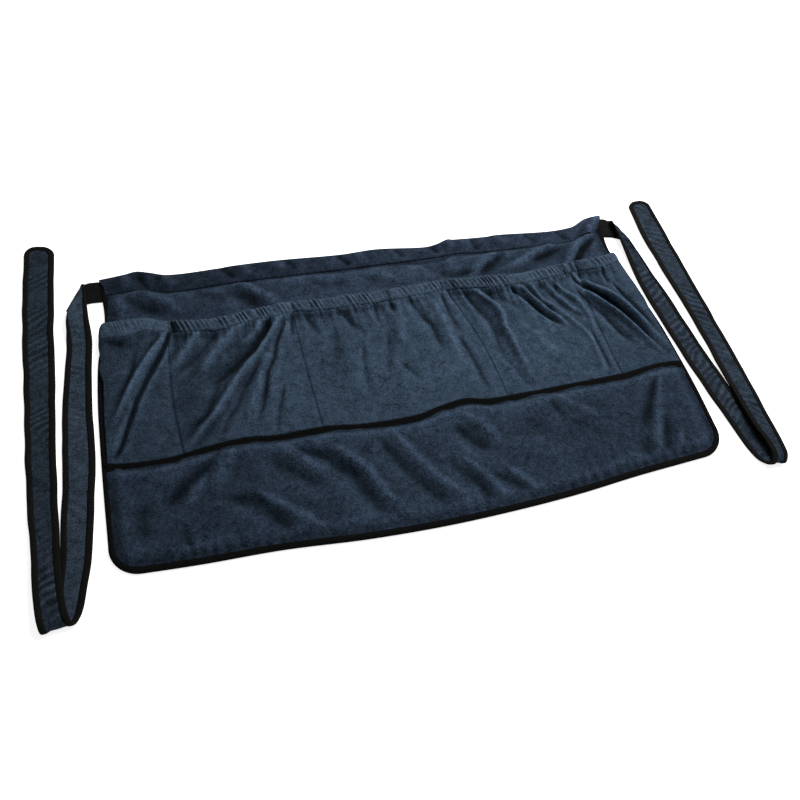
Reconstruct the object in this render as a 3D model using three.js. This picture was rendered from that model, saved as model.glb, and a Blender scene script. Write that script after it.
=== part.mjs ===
// Half waist apron of plush cloth with bound edges, laid flat, its two ties folded back beside it.
// Millimetres, +Z up. X runs along the waist, Y from the hem to the waist, the table is at Z = 0.
// The origin is the middle of the panel's underside.

import * as THREE from 'three';

const { clamp, lerp, smoothstep } = THREE.MathUtils;

// Cloth and trim
const CLOTH = 2;
const TIE_CLOTH = 1.4;
const TRIM = 1;
const TIE_TRIM = 0.8;
const GAP = 0.3;
const RIM = GAP + TRIM;
const TIE_RIM = GAP + TIE_TRIM;
const BINDING_WIDTH = 9;
const TIE_BINDING_WIDTH = 8.5;
const RIM_FLAT = 13;
const RIM_FADE = 40;

// Panel and waistband
const CORNER_RADIUS = 34;
const CORNER_STEPS = [0, 10, 21, 34];
const RIM_STEP = 9.5;
const PANEL_COLUMNS = 26;
const PANEL_ROWS = 12;
const WAISTBAND_DEPTH = 34;
const WAISTBAND_BACK = 9;
const FOLD_CLEAR = 8;
const FOLD_FULL = 30;

// Pocket patch
const TAPE_WIDTH = 10;
const TAPE_THICK = 1.6;
const CASING_DEPTH = 15;
const CASING_THICK = 4;
const RUFFLE_HEIGHT = 0.9;
const RUFFLES_FROM = -300;
const MOUTH_DRAW = 0.85;
const POCKET_STEPS = [0, 0.1, 0.2, 0.3, 0.4, 0.5, 0.6, 0.68, 0.76, 0.84, 0.92, 1];
const SIDE_CLEAR = 0.5;
const SIDE_LIFT = 1.8;
const MOUTH_LIFT = 3.6;

// Ties
const TIE_END_RADIUS = 12;
const TIE_END_STEPS = [12, 6, 2.2, 0];
const TIE_LEG_SHARE = 0.2;
const MOST_SLANT = 0.4;

// X of the panel's two side edges, from the hem up to the waist
const SIDES = [
  { y: -176, left: -398.5, right: 399.5 },
  { y: -100, left: -400, right: 401 },
  { y: 0, left: -400.5, right: 398 },
  { y: 53, left: -399, right: 392.5 },
  { y: 97, left: -395.5, right: 387 },
  { y: 135, left: -387, right: 380 },
  { y: 170, left: -384, right: 376.5 },
  { y: 205, left: -385.5, right: 380.5 },
  { y: 242, left: -389.5, right: 387.5 },
];

// Hem line, bowed towards the wearer's feet
const HEM = [
  { x: -400, y: -219 },
  { x: -300, y: -224 },
  { x: -200, y: -226 },
  { x: -96, y: -233.5 },
  { x: 0, y: -236 },
  { x: 95, y: -233.5 },
  { x: 180, y: -228 },
  { x: 263, y: -219 },
  { x: 330, y: -213.5 },
  { x: 400, y: -208 },
];

// Waist edge, with the small bumps of slack cloth
const WAIST = [
  { x: -390, y: 240 },
  { x: -334, y: 247 },
  { x: -291, y: 233 },
  { x: -219, y: 233 },
  { x: -132, y: 234 },
  { x: -38, y: 229 },
  { x: 18, y: 230.5 },
  { x: 92, y: 222 },
  { x: 133, y: 231 },
  { x: 193, y: 227 },
  { x: 296, y: 221 },
  { x: 350, y: 226 },
  { x: 390, y: 237 },
];

// Middle line of the tape along the patch's foot
const TAPE = [
  { x: -396, y: -74 },
  { x: -346, y: -79 },
  { x: -310, y: -78 },
  { x: -265, y: -71 },
  { x: -218, y: -68.5 },
  { x: -184, y: -72.5 },
  { x: -119, y: -71.5 },
  { x: -65, y: -78 },
  { x: 3, y: -78 },
  { x: 38, y: -70 },
  { x: 75, y: -65 },
  { x: 107, y: -71.5 },
  { x: 245, y: -69 },
  { x: 307, y: -67 },
  { x: 365, y: -60 },
  { x: 398, y: -63 },
];

// Upper edge of the elastic casing while it lies on the panel
const MOUTH = [
  { x: -388, y: 159 },
  { x: -329, y: 157 },
  { x: -300, y: 147 },
  { x: -234, y: 140 },
  { x: -191, y: 145 },
  { x: -126, y: 151 },
  { x: -84, y: 148 },
  { x: 15, y: 148.5 },
  { x: 112, y: 151 },
  { x: 201, y: 144.5 },
  { x: 256, y: 147.5 },
  { x: 307, y: 153 },
  { x: 355, y: 156 },
  { x: 385, y: 163 },
];

// Upright seams of the patch: X at the foot, half way up and at the mouth
const SEAMS = [
  { foot: -299, middle: -305, mouth: -300 },
  { foot: -120, middle: -125, mouth: -127 },
  { foot: 134, middle: 125, mouth: 100 },
  { foot: 306, middle: 304, mouth: 309 },
];

// Pockets from left to right: how far the mouth stands off the panel, and grid columns across
const POCKETS = [
  { name: 'left_side', lift: 9, columns: 6 },
  { name: 'left', lift: 12, columns: 12 },
  { name: 'middle', lift: 13, columns: 13 },
  { name: 'right', lift: 12, columns: 13 },
  { name: 'right_side', lift: 10, columns: 7 },
];

// Where the patch's outer edges leave the side binding, as shares of the way up to the mouth, and how far
// inside the panel's edge they then lie
const LEFT_EDGE = { lifts: 0.68, clear: 0.76, out: 0.84, inset: 1 };
const RIGHT_EDGE = { lifts: 0.5, clear: 0.6, out: 0.68, inset: 1 };

// Folds of the patch: a line from the mouth downwards, its height (a valley is negative), half width
const POCKET_FOLDS = [
  { x0: -311, y0: 118, x1: -386, y1: -18, height: 4, width: 11 },
  { x0: -300, y0: 112, x1: -374, y1: -52, height: -5, width: 8 },
  { x0: -201, y0: 112, x1: -276, y1: 24, height: 3, width: 14 },
  { x0: -166, y0: 108, x1: -268, y1: -32, height: -5, width: 12 },
  { x0: -152, y0: 114, x1: -290, y1: -70, height: 5, width: 12 },
  { x0: -148, y0: 78, x1: -224, y1: -40, height: -4, width: 13 },
  { x0: -63, y0: 124, x1: -39, y1: 68, height: -3, width: 10 },
  { x0: -42, y0: 60, x1: -55, y1: -10, height: -3, width: 14 },
  { x0: 10, y0: 74, x1: -24, y1: 0, height: 3, width: 18 },
  { x0: 49, y0: 108, x1: 54, y1: 50, height: -3, width: 10 },
  { x0: 145, y0: 108, x1: 170, y1: -60, height: -4, width: 11 },
  { x0: 154, y0: 116, x1: 178, y1: -20, height: 4, width: 11 },
  { x0: 190, y0: 116, x1: 260, y1: 30, height: -5, width: 9 },
  { x0: 249, y0: 114, x1: 297, y1: -44, height: 3, width: 11 },
  { x0: 304, y0: 120, x1: 377, y1: -20, height: -5, width: 9 },
  { x0: 318, y0: 122, x1: 390, y1: -44, height: 4, width: 11 },
];

// Folds of the panel below the tape and above the mouths
const PANEL_FOLDS = [
  { x0: -240, y0: -90, x1: -315, y1: -130, height: 2, width: 20 },
  { x0: -175, y0: -90, x1: -110, y1: -190, height: 2.5, width: 24 },
  { x0: -65, y0: -95, x1: -30, y1: -200, height: 2.5, width: 24 },
  { x0: 20, y0: -95, x1: 60, y1: -190, height: 2.5, width: 22 },
  { x0: 340, y0: -85, x1: 312, y1: -170, height: 2.5, width: 20 },
  { x0: 370, y0: 200, x1: 318, y1: 165, height: 3, width: 14 },
  { x0: 150, y0: 166, x1: 255, y1: 186, height: 2, width: 14 },
];

// Left tie from its seam at the waist to its free end: X, Y and lift off the table of the edge nearer
// the apron and of the far edge. It folds over itself at the waist, runs to the near tip, turns back
// over and runs to the free end.
const LEFT_TIE = [
  { inner: [-389.4, 238.5, 0], outer: [-385.7, 200.5, 0] },
  { inner: [-401, 239, 0], outer: [-411, 198.5, 0] },
  { inner: [-407.1, 235.8, 0], outer: [-430, 188.3, 0] },
  { inner: [-411, 235, 4.3], outer: [-434, 187.5, 4.3] },
  { inner: [-407.6, 232, 8.6], outer: [-430.4, 184.2, 8.6] },
  { inner: [-405, 208, 8.4], outer: [-432, 167, 7.8] },
  { inner: [-404.3, 170, 4.4], outer: [-435, 147, 3.8] },
  { inner: [-404.5, 135, 0.4], outer: [-438, 130, 0] },
  { inner: [-406, 81, 0], outer: [-441.5, 80, 0] },
  { inner: [-407.3, 3, 0], outer: [-445.5, 3, 0] },
  { inner: [-407.8, -70, 0], outer: [-447.5, -70, 0] },
  { inner: [-413.5, -135, 0], outer: [-452, -137, 0] },
  { inner: [-422, -205, 0], outer: [-461, -212, 0] },
  { inner: [-435.8, -257.5, 0], outer: [-474.8, -264.5, 0] },
  { inner: [-437, -262, 4.6], outer: [-476, -269, 4.6] },
  { inner: [-436, -257.5, 9.2], outer: [-475.5, -264, 9.2] },
  { inner: [-440, -205, 7.4], outer: [-479.5, -206, 7.4] },
  { inner: [-448, -150, 5.6], outer: [-485, -148, 4.2] },
  { inner: [-452, -105, 3], outer: [-488, -102, 0.6] },
  { inner: [-453.5, -45, 0], outer: [-490.3, -45, 0] },
  { inner: [-452, 70, 0], outer: [-492, 70, 0] },
  { inner: [-450.8, 166, 0], outer: [-492.5, 166, 0] },
  { inner: [-449, 255, 0], outer: [-491, 255, 0] },
  { inner: [-447.5, 321.5, 0], outer: [-488.5, 321.5, 0] },
];

// Right tie, in the same order
const RIGHT_TIE = [
  { inner: [387.4, 237.5, 0], outer: [380.6, 200, 0] },
  { inner: [393, 236.5, 0], outer: [396, 197.5, 0] },
  { inner: [399.3, 232.3, 0], outer: [414, 187.5, 0] },
  { inner: [403, 230.2, 4.3], outer: [418.3, 185.5, 4.3] },
  { inner: [399.8, 226.5, 8.6], outer: [415, 181.5, 8.6] },
  { inner: [399.6, 203, 8.4], outer: [418.5, 163, 7.8] },
  { inner: [399, 160, 4], outer: [423.5, 142, 3.2] },
  { inner: [398, 118, 0.5], outer: [428, 110, 0] },
  { inner: [399.5, 65, 0], outer: [433, 60, 0] },
  { inner: [404, 3, 0], outer: [438.5, 0, 0] },
  { inner: [408.5, -62, 0], outer: [443.5, -66, 0] },
  { inner: [414, -108, 0], outer: [448, -112, 0] },
  { inner: [420.5, -165, 0], outer: [456, -175, 0] },
  { inner: [432.5, -224, 0], outer: [469, -232.5, 0] },
  { inner: [434, -229, 4.9], outer: [471.3, -237.5, 4.9] },
  { inner: [433.5, -224, 9.8], outer: [472, -232, 9.8] },
  { inner: [437.5, -168, 8], outer: [479, -172, 7.2] },
  { inner: [446, -118, 5.6], outer: [482, -118, 4.2] },
  { inner: [449, -76, 3], outer: [482.3, -74, 0.6] },
  { inner: [449.5, -18, 0], outer: [482.5, -16, 0] },
  { inner: [447.5, 60, 0], outer: [482, 60, 0] },
  { inner: [445, 125, 0], outer: [481.2, 125, 0] },
  { inner: [442, 185, 0], outer: [480.8, 185, 0] },
  { inner: [444.5, 257, 0], outer: [480.5, 257, 0] },
];

// Smooth value of one column of a table, at a place between its rows.
function read(rows, place, from, to) {
  const last = rows.length - 1;
  const at = clamp(place, rows[0][from], rows[last][from]);
  let i = 0;
  while (i < last - 1 && at > rows[i + 1][from]) i += 1;
  const slope = (k) => {
    const before = rows[Math.max(k - 1, 0)];
    const after = rows[Math.min(k + 1, last)];
    return (after[to] - before[to]) / (after[from] - before[from]);
  };
  const span = rows[i + 1][from] - rows[i][from];
  const q = (at - rows[i][from]) / span;
  const rise = rows[i + 1][to] - rows[i][to];
  const bend = q * (1 - q) * span;
  return rows[i][to] + rise * q * q * (3 - 2 * q) + bend * (slope(i) * (1 - q) - slope(i + 1) * q);
}

const leftSide = (y) => read(SIDES, y, 'y', 'left');
const rightSide = (y) => read(SIDES, y, 'y', 'right');
const hem = (x) => read(HEM, x, 'x', 'y');
const waist = (x) => read(WAIST, x, 'x', 'y');
const tape = (x) => read(TAPE, x, 'x', 'y');

// Height that a table of folds adds at a place on a sheet.
function foldHeight(folds, x, y) {
  let height = 0;
  for (const fold of folds) {
    const run = new THREE.Vector2(fold.x1 - fold.x0, fold.y1 - fold.y0);
    const place = new THREE.Vector2(x - fold.x0, y - fold.y0);
    const along = place.dot(run) / run.lengthSq();
    const across = place.cross(run) / run.length();
    const fade = smoothstep(along, -0.15, 0.25) * (1 - smoothstep(along, 0.75, 1.15));
    height += fold.height * Math.exp(-((across / fold.width) ** 2)) * fade;
  }
  return height;
}

// A mesh whose faces point out, in a plain cloth colour.
function piece(name, geometry, colour) {
  const index = geometry.index.array;
  const at = geometry.attributes.position;
  const corner = (k) => new THREE.Vector3().fromBufferAttribute(at, index[k]);
  let volume = 0;
  for (let k = 0; k < index.length; k += 3) {
    volume += corner(k).dot(corner(k + 1).cross(corner(k + 2)));
  }
  if (volume < 0) index.reverse();
  geometry.computeVertexNormals();
  const material = new THREE.MeshStandardMaterial({ color: colour, roughness: 0.95, metalness: 0 });
  const mesh = new THREE.Mesh(geometry, material);
  mesh.name = name;
  return mesh;
}

// A closed cloth wall: place(column, row, face) gives each point, face being -1 below and 1 above.
// Each square of the lower face is split the same way as the one above it, so the wall keeps its thickness.
function wall(columns, rows, place) {
  const geometry = new THREE.BoxGeometry(1, 1, 1, columns, rows, 1);
  const at = geometry.attributes.position;
  for (let i = 0; i < at.count; i += 1) {
    const column = Math.round((at.getX(i) + 0.5) * columns);
    const row = Math.round((at.getY(i) + 0.5) * rows);
    const point = place(column, row, Math.sign(at.getZ(i)));
    at.setXYZ(i, point.x, point.y, point.z);
  }
  const index = geometry.index.array;
  const below = geometry.groups[5];
  for (let k = below.start; k < below.start + below.count; k += 6) {
    const [a, b, d, , c] = index.slice(k, k + 6);
    index.set([a, b, c, a, c, d], k);
  }
  return geometry;
}

// A closed bar: one section carried along frames of a point, an outward way and an upward way.
function sweep(frames, section) {
  const points = [];
  const index = [];
  const around = section.length;
  for (const frame of frames) {
    for (const corner of section) {
      const reach = corner.x > 0 ? corner.x * (frame.slant ?? 1) : corner.x;
      points.push(frame.point.clone().addScaledVector(frame.out, reach).addScaledVector(frame.up, corner.y));
    }
  }
  for (let i = 0; i < frames.length - 1; i += 1) {
    for (let k = 0; k < around; k += 1) {
      const a = i * around + k;
      const b = i * around + ((k + 1) % around);
      index.push(a, b, b + around, a, b + around, a + around);
    }
  }
  const lastRing = (frames.length - 1) * around;
  for (const [a, b, c] of THREE.ShapeUtils.triangulateShape(section, [])) {
    index.push(a, c, b, lastRing + a, lastRing + b, lastRing + c);
  }
  const geometry = new THREE.BufferGeometry().setFromPoints(points);
  geometry.setIndex(index);
  return geometry;
}

// The folded section of a binding: it wraps a cloth edge and lies on both of its faces.
function bindingSection(cloth, trim, frontLeg, backLeg) {
  const inner = cloth / 2 + GAP;
  const outer = inner + trim;
  return [
    [-frontLeg, inner],
    [GAP, inner],
    [GAP, -inner],
    [-backLeg, -inner],
    [-backLeg, -outer],
    [GAP + trim, -outer],
    [GAP + trim, outer],
    [-frontLeg, outer],
  ].map(([x, y]) => new THREE.Vector2(x, y));
}

// Frames along a flat edge, each corner mitred so that the binding keeps its distance.
function flatFrames(points) {
  const flat = (v) => new THREE.Vector3(v.x, v.y, 0).normalize();
  const outward = (v) => new THREE.Vector3(v.y, -v.x, 0);
  return points.map((point, i) => {
    const before = outward(flat(point.clone().sub(points[Math.max(i - 1, 0)])));
    const after = outward(flat(points[Math.min(i + 1, points.length - 1)].clone().sub(point)));
    if (i === 0) before.copy(after);
    if (i === points.length - 1) after.copy(before);
    const out = before.clone().add(after).normalize();
    return { point, out: out.divideScalar(out.dot(before)), up: new THREE.Vector3(0, 0, 1) };
  });
}

// Panel

// Distance from a place on the panel to its nearest edge, round corners included.
function edgeDistance(x, y) {
  const fromSide = Math.min(rightSide(y) - x, x - leftSide(y)) - RIM;
  const fromHem = y - hem(x) - RIM;
  const fromWaist = waist(x) - RIM - y;
  if (fromSide < CORNER_RADIUS && fromHem < CORNER_RADIUS) {
    return CORNER_RADIUS - Math.hypot(CORNER_RADIUS - fromSide, CORNER_RADIUS - fromHem);
  }
  return Math.min(fromSide, fromHem, fromWaist);
}

// Underside of the panel: on the table, but raised onto the binding at its rim and in its folds.
function panelUnder(x, y) {
  const distance = edgeDistance(x, y);
  const rim = RIM * (1 - smoothstep(distance, RIM_FLAT, RIM_FADE));
  const belowBand = smoothstep(waist(x) - y - WAISTBAND_DEPTH, FOLD_CLEAR, FOLD_FULL);
  return rim + foldHeight(PANEL_FOLDS, x, y) * belowBand * smoothstep(distance, RIM_FLAT, RIM_FADE);
}

const panelTop = (x, y) => panelUnder(x, y) + CLOTH;

// Shares of the way across the panel: close columns at both rims, even ones between.
function panelColumn(column, width) {
  const last = PANEL_COLUMNS + 2;
  if (column === 0) return 0;
  if (column === last) return width;
  return RIM_STEP + ((width - 2 * RIM_STEP) * (column - 1)) / PANEL_COLUMNS;
}

const panelLastColumn = PANEL_COLUMNS + 2;
const panelLastRow = CORNER_STEPS.length - 1 + PANEL_ROWS;

// Y of a row of the panel's grid: close rows at the hem's corners and the waist, even ones between.
function panelRow(row, x) {
  const low = hem(x) + RIM;
  const high = waist(x) - RIM;
  if (row === panelLastRow) return high;
  if (row < CORNER_STEPS.length) return low + CORNER_STEPS[row];
  const share = (row - CORNER_STEPS.length + 1) / (PANEL_ROWS - 1);
  return lerp(low + CORNER_RADIUS, high - RIM_STEP, share);
}

// A point of the panel's middle surface on its grid.
function panelPoint(column, row) {
  const rise = CORNER_RADIUS - (CORNER_STEPS[row] ?? CORNER_RADIUS);
  const inset = CORNER_RADIUS - Math.sqrt(CORNER_RADIUS ** 2 - rise ** 2);
  const left = leftSide(panelRow(row, leftSide(0))) + RIM + inset;
  const right = rightSide(panelRow(row, rightSide(0))) - RIM - inset;
  const x = left + panelColumn(column, right - left);
  const y = panelRow(row, x);
  const rim = row === 0 || row === panelLastRow || column === 0 || column === panelLastColumn;
  return new THREE.Vector3(x, y, (rim ? RIM : panelUnder(x, y)) + CLOTH / 2);
}

const panel = wall(panelLastColumn, panelLastRow, (column, row, face) => {
  const point = panelPoint(column, row);
  point.z += (face * CLOTH) / 2;
  return point;
});

// The panel's bound edge: down the left side, along the hem and up the right side.
const boundEdge = [];
for (let row = panelLastRow; row > 0; row -= 1) boundEdge.push(panelPoint(0, row));
for (let column = 0; column <= panelLastColumn; column += 1) boundEdge.push(panelPoint(column, 0));
for (let row = 1; row <= panelLastRow; row += 1) boundEdge.push(panelPoint(panelLastColumn, row));
const edgeLegs = BINDING_WIDTH - RIM;
const edgeBinding = sweep(flatFrames(boundEdge), bindingSection(CLOTH, TRIM, edgeLegs, edgeLegs));

// Waistband: a wide fold over the panel's top edge, its ends leaning along the two side bindings.
const lean = (edge) => (edge(waist(0)) - edge(waist(0) - WAISTBAND_DEPTH)) / WAISTBAND_DEPTH;
const waistFrames = [];
for (let column = 1; column < panelLastColumn; column += 1) {
  const leftEnd = Number(column === 1);
  const rightEnd = Number(column === panelLastColumn - 1);
  waistFrames.push({
    point: panelPoint(column, panelLastRow),
    out: new THREE.Vector3(rightEnd * lean(rightSide) + leftEnd * lean(leftSide), 1, 0),
    up: new THREE.Vector3(0, 0, 1),
  });
}
const waistLegs = [WAISTBAND_DEPTH - RIM, WAISTBAND_BACK - RIM];
const waistband = sweep(waistFrames, bindingSection(CLOTH, TRIM, ...waistLegs));

// Pocket patch

// X of an upright seam at a share of the way from the foot to the mouth.
function seamX(seam, share) {
  const foot = seam.foot * (1 - share) * (1 - 2 * share);
  const middle = seam.middle * 4 * share * (1 - share);
  return foot + middle + seam.mouth * share * (2 * share - 1);
}

// X of the patch's outer edge: inside the side binding, then over it near the mouth.
function patchSide(side, way, edge, share) {
  const y = lerp(tape(side(0)), read(MOUTH, side(0), 'x', 'y'), share);
  const tucked = BINDING_WIDTH + SIDE_CLEAR;
  return side(y) - way * lerp(tucked, edge.inset, smoothstep(share, edge.clear, edge.out));
}

// Height of the patch's outer edge over the panel, so that it clears the side binding.
function sideLift(edge, share) {
  const clear = SIDE_LIFT * smoothstep(share, edge.lifts, edge.clear);
  return clear + (MOUTH_LIFT - SIDE_LIFT) * smoothstep(share, edge.clear, 1);
}

// Underside of the patch in one pocket, at a share of the way across and up.
function pocketUnder(pocket, across, share, x, y) {
  const arch = Math.sin(Math.PI * clamp(across, 0, 1)) ** 0.6;
  const swell = POCKETS[pocket].lift * arch * share ** 1.4;
  const folds = foldHeight(POCKET_FOLDS, x, y) * smoothstep(share, 0, 0.2) * arch;
  let held = 0;
  if (pocket === 0) held = sideLift(LEFT_EDGE, share) * (1 - across) ** 2;
  if (pocket === POCKETS.length - 1) held = sideLift(RIGHT_EDGE, share) * across ** 2;
  return panelTop(x, y) + GAP + Math.max(swell + folds, 0) + held;
}

// Shift that parts two pockets at the seam between them, at the share 0 or 1 of the way across.
function seamGap(number, across) {
  if (across === 0 && number > 0) return GAP / 2;
  if (across === 1 && number < POCKETS.length - 1) return -GAP / 2;
  return 0;
}

// X across the patch, its height at the mouth, and its point at a share of the way up.
function patchX(number, across, share) {
  const lines = [patchSide(leftSide, -1, LEFT_EDGE, share)];
  for (const seam of SEAMS) lines.push(seamX(seam, share));
  lines.push(patchSide(rightSide, 1, RIGHT_EDGE, share));
  return lerp(lines[number], lines[number + 1], across);
}

function mouthPoint(number, across) {
  const x = patchX(number, across, 1);
  const flat = read(MOUTH, x, 'x', 'y');
  const lift = pocketUnder(number, across, 1, x, flat - CASING_DEPTH) - CLOTH - GAP;
  return new THREE.Vector3(x, flat - MOUTH_DRAW * lift, lift + CLOTH + GAP);
}

function patchPoint(number, across, share) {
  const x = patchX(number, across, share);
  const low = tape(x) + TAPE_WIDTH / 2 + 2 * GAP;
  const y = lerp(low, mouthPoint(number, across).y - CASING_DEPTH - GAP, share);
  return new THREE.Vector3(x, y, pocketUnder(number, across, share, x, y));
}

// Cloth of one pocket, from seam to seam.
function pocketPatch(number) {
  const { columns } = POCKETS[number];
  return wall(columns, POCKET_STEPS.length - 1, (column, row, face) => {
    const point = patchPoint(number, column / columns, POCKET_STEPS[row]);
    point.x += seamGap(number, column / columns);
    point.z += ((face + 1) / 2) * CLOTH;
    return point;
  });
}

// Elastic casing of one pocket: a ruffled band along its mouth, one ruffle to each column of the patch.
function patchMouth(number, across) {
  const { columns } = POCKETS[number];
  const column = Math.min(Math.floor(across * columns), columns - 1);
  const left = patchPoint(number, column / columns, 1);
  const right = patchPoint(number, (column + 1) / columns, 1);
  return left.lerp(right, across * columns - column);
}

function pocketCasing(number) {
  const columns = 2 * POCKETS[number].columns;
  return wall(columns, 1, (column, row, face) => {
    const point = patchMouth(number, column / columns);
    const ruffle = point.x > RUFFLES_FROM ? (column % 2) * RUFFLE_HEIGHT : 0;
    point.x += seamGap(number, column / columns);
    point.y += GAP + row * (CASING_DEPTH + ruffle);
    point.z += ruffle + ((face + 1) / 2) * CASING_THICK;
    return point;
  });
}

// Tape along the patch's foot, between the two side bindings.
const tapeLeft = leftSide(tape(0)) + BINDING_WIDTH + SIDE_CLEAR;
const tapeRight = rightSide(tape(0)) - BINDING_WIDTH - SIDE_CLEAR;
const tapeColumns = 2 * PANEL_COLUMNS;
const footTape = wall(tapeColumns, 1, (column, row, face) => {
  const x = lerp(tapeLeft, tapeRight, column / tapeColumns);
  const y = tape(x) + (row - 0.5) * TAPE_WIDTH;
  return new THREE.Vector3(x, y, panelTop(x, y) + GAP + ((face + 1) / 2) * TAPE_THICK);
});

// Ties

// Samples along a tie: both edges of the cloth and the way its upper face looks.
function tieSections(rows) {
  const rest = TIE_CLOTH / 2 + TIE_RIM;
  const raised = ([x, y, lift]) => new THREE.Vector3(x, y, lift + rest);
  const inner = new THREE.CatmullRomCurve3(rows.map((row) => raised(row.inner)));
  const outer = new THREE.CatmullRomCurve3(rows.map((row) => raised(row.outer)));
  const last = rows.length - 1;
  const places = [];
  for (let row = 0; row < last; row += 1) {
    places.push(row / last);
    const lifted = Math.max(rows[row].inner[2], rows[row + 1].inner[2]) > 1;
    if (lifted) places.push((row + 1 / 3) / last, (row + 2 / 3) / last);
  }
  const length = raised(rows[last].inner).distanceTo(raised(rows[last - 1].inner));
  for (const step of TIE_END_STEPS) places.push((last - step / length) / last);
  return places.map((place, k) => {
    const a = inner.getPoint(place);
    const b = outer.getPoint(place);
    const ruling = a.clone().sub(b).normalize();
    const travel = inner.getTangent(place).add(outer.getTangent(place)).normalize();
    const up = ruling.clone().cross(travel).normalize();
    const step = TIE_END_STEPS[k - places.length + TIE_END_STEPS.length];
    const short = TIE_END_RADIUS - (step ?? TIE_END_RADIUS);
    const inset = TIE_RIM + TIE_END_RADIUS - Math.sqrt(TIE_END_RADIUS ** 2 - short ** 2);
    const back = step === undefined ? 0 : TIE_RIM;
    a.addScaledVector(ruling, -inset).addScaledVector(travel, -back);
    b.addScaledVector(ruling, inset).addScaledVector(travel, -back);
    return { inner: a, outer: b, ruling, up, round: step !== undefined };
  });
}

// Cloth of a tie, with rows along the binding's legs.
function tieCloth(sections) {
  const rows = [0, TIE_LEG_SHARE, 1 - TIE_LEG_SHARE, 1];
  return wall(sections.length - 1, rows.length - 1, (column, row, face) => {
    const { inner, outer, up } = sections[column];
    return outer.clone().lerp(inner, rows[row]).addScaledVector(up, (face * TIE_CLOTH) / 2);
  });
}

// Binding round a tie: along the inner edge, round the free end and back along the outer edge.
// Its legs lie along the cloth's rulings, and square to the edge where the free end is round.
function tieBinding(sections) {
  const rim = sections.map((section) => ({ ...section, point: section.inner, way: 1 }));
  for (const section of sections.slice().reverse()) rim.push({ ...section, point: section.outer, way: -1 });
  const frames = rim.map(({ point, ruling, way, up, round }, i) => {
    const out = ruling.clone().multiplyScalar(way);
    if (!round) {
      const ahead = (rim[i + 1] ?? rim[i]).point.clone().sub((rim[i - 1] ?? rim[i]).point).normalize();
      return { point, out, up, slant: 1 / Math.max(ahead.cross(ruling).length(), MOST_SLANT) };
    }
    const before = point.clone().sub(rim[i - 1].point).cross(up).normalize();
    const after = rim[i + 1].point.clone().sub(point).cross(up).normalize();
    const square = before.clone().add(after).normalize();
    square.divideScalar(square.dot(before));
    return { point, out: square.multiplyScalar(Math.sign(square.dot(out))), up };
  });
  const leg = TIE_BINDING_WIDTH - TIE_RIM;
  return sweep(frames, bindingSection(TIE_CLOTH, TIE_TRIM, leg, leg));
}

const leftTie = tieSections(LEFT_TIE);
const rightTie = tieSections(RIGHT_TIE);

const PLUSH = '#364453';
const SKIRT_PLUSH = '#2c3744';
const BLACK = '#131417';

const apron = new THREE.Group();
apron.add(
  piece('apron_panel', panel, SKIRT_PLUSH),
  piece('waistband', waistband, PLUSH),
  ...POCKETS.map(({ name }, number) => piece(`${name}_patch`, pocketPatch(number), PLUSH)),
  ...POCKETS.map(({ name }, number) => piece(`${name}_elastic`, pocketCasing(number), PLUSH)),
  piece('pocket_tape', footTape, BLACK),
  piece('edge_binding', edgeBinding, BLACK),
  piece('left_tie', tieCloth(leftTie), SKIRT_PLUSH),
  piece('right_tie', tieCloth(rightTie), SKIRT_PLUSH),
  piece('left_tie_binding', tieBinding(leftTie), BLACK),
  piece('right_tie_binding', tieBinding(rightTie), BLACK),
);

export default apron;
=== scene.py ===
# %% [markdown]
# # A half waist apron, laid flat
#
# This lesson dresses the imported model of an apron: soft plush cloth, gathered pockets, black bound
# edges and two ties folded back beside it. The imported model is the frame. Every piece below sits
# where a solid of that frame sits, so the first cell loads it.

# %% Load the frame
import math
from collections import namedtuple

import bmesh
import bpy
import numpy as np
from mathutils import Matrix, Vector


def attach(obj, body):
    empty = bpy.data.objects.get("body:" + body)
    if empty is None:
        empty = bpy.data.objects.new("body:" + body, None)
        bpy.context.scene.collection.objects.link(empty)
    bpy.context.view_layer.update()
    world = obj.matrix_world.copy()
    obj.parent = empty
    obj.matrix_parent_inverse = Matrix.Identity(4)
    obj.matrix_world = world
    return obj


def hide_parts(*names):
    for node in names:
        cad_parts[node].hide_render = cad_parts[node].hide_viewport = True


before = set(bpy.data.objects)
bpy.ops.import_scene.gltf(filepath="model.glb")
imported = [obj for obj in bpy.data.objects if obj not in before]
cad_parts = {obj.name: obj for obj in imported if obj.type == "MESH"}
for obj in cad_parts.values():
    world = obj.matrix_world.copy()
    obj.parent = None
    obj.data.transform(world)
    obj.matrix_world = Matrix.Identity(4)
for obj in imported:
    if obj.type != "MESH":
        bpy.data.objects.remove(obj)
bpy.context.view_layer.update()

# %% [markdown]
# ## Camera
#
# A camera could be placed by eye, but the photograph gives enough straight edges to solve its
# place. It stands in front of the hem, a little to the left, looks down steeply and leans a few
# degrees, so the three turns are heading, pitch and roll. The lens comes from the focal length in
# pixels of an 800 pixel wide image.

# %% Camera
IMAGE_WIDTH = 800
FOCAL_PIXELS = 850
SENSOR_WIDTH = 36
CAMERA_PLACE = Vector((-0.2298, -0.6474, 0.9470))
HEADING = math.radians(19.869)
PITCH_DOWN = math.radians(55.834)
ROLL = math.radians(7.260)

level_right = Vector((math.cos(HEADING), -math.sin(HEADING), 0))
ahead_flat = Vector((math.sin(HEADING), math.cos(HEADING), 0))
forward = ahead_flat * math.cos(PITCH_DOWN) - Vector((0, 0, math.sin(PITCH_DOWN)))
level_up = ahead_flat * math.sin(PITCH_DOWN) + Vector((0, 0, math.cos(PITCH_DOWN)))
camera_right = level_right * math.cos(ROLL) + level_up * math.sin(ROLL)
camera_up = level_up * math.cos(ROLL) - level_right * math.sin(ROLL)

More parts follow.
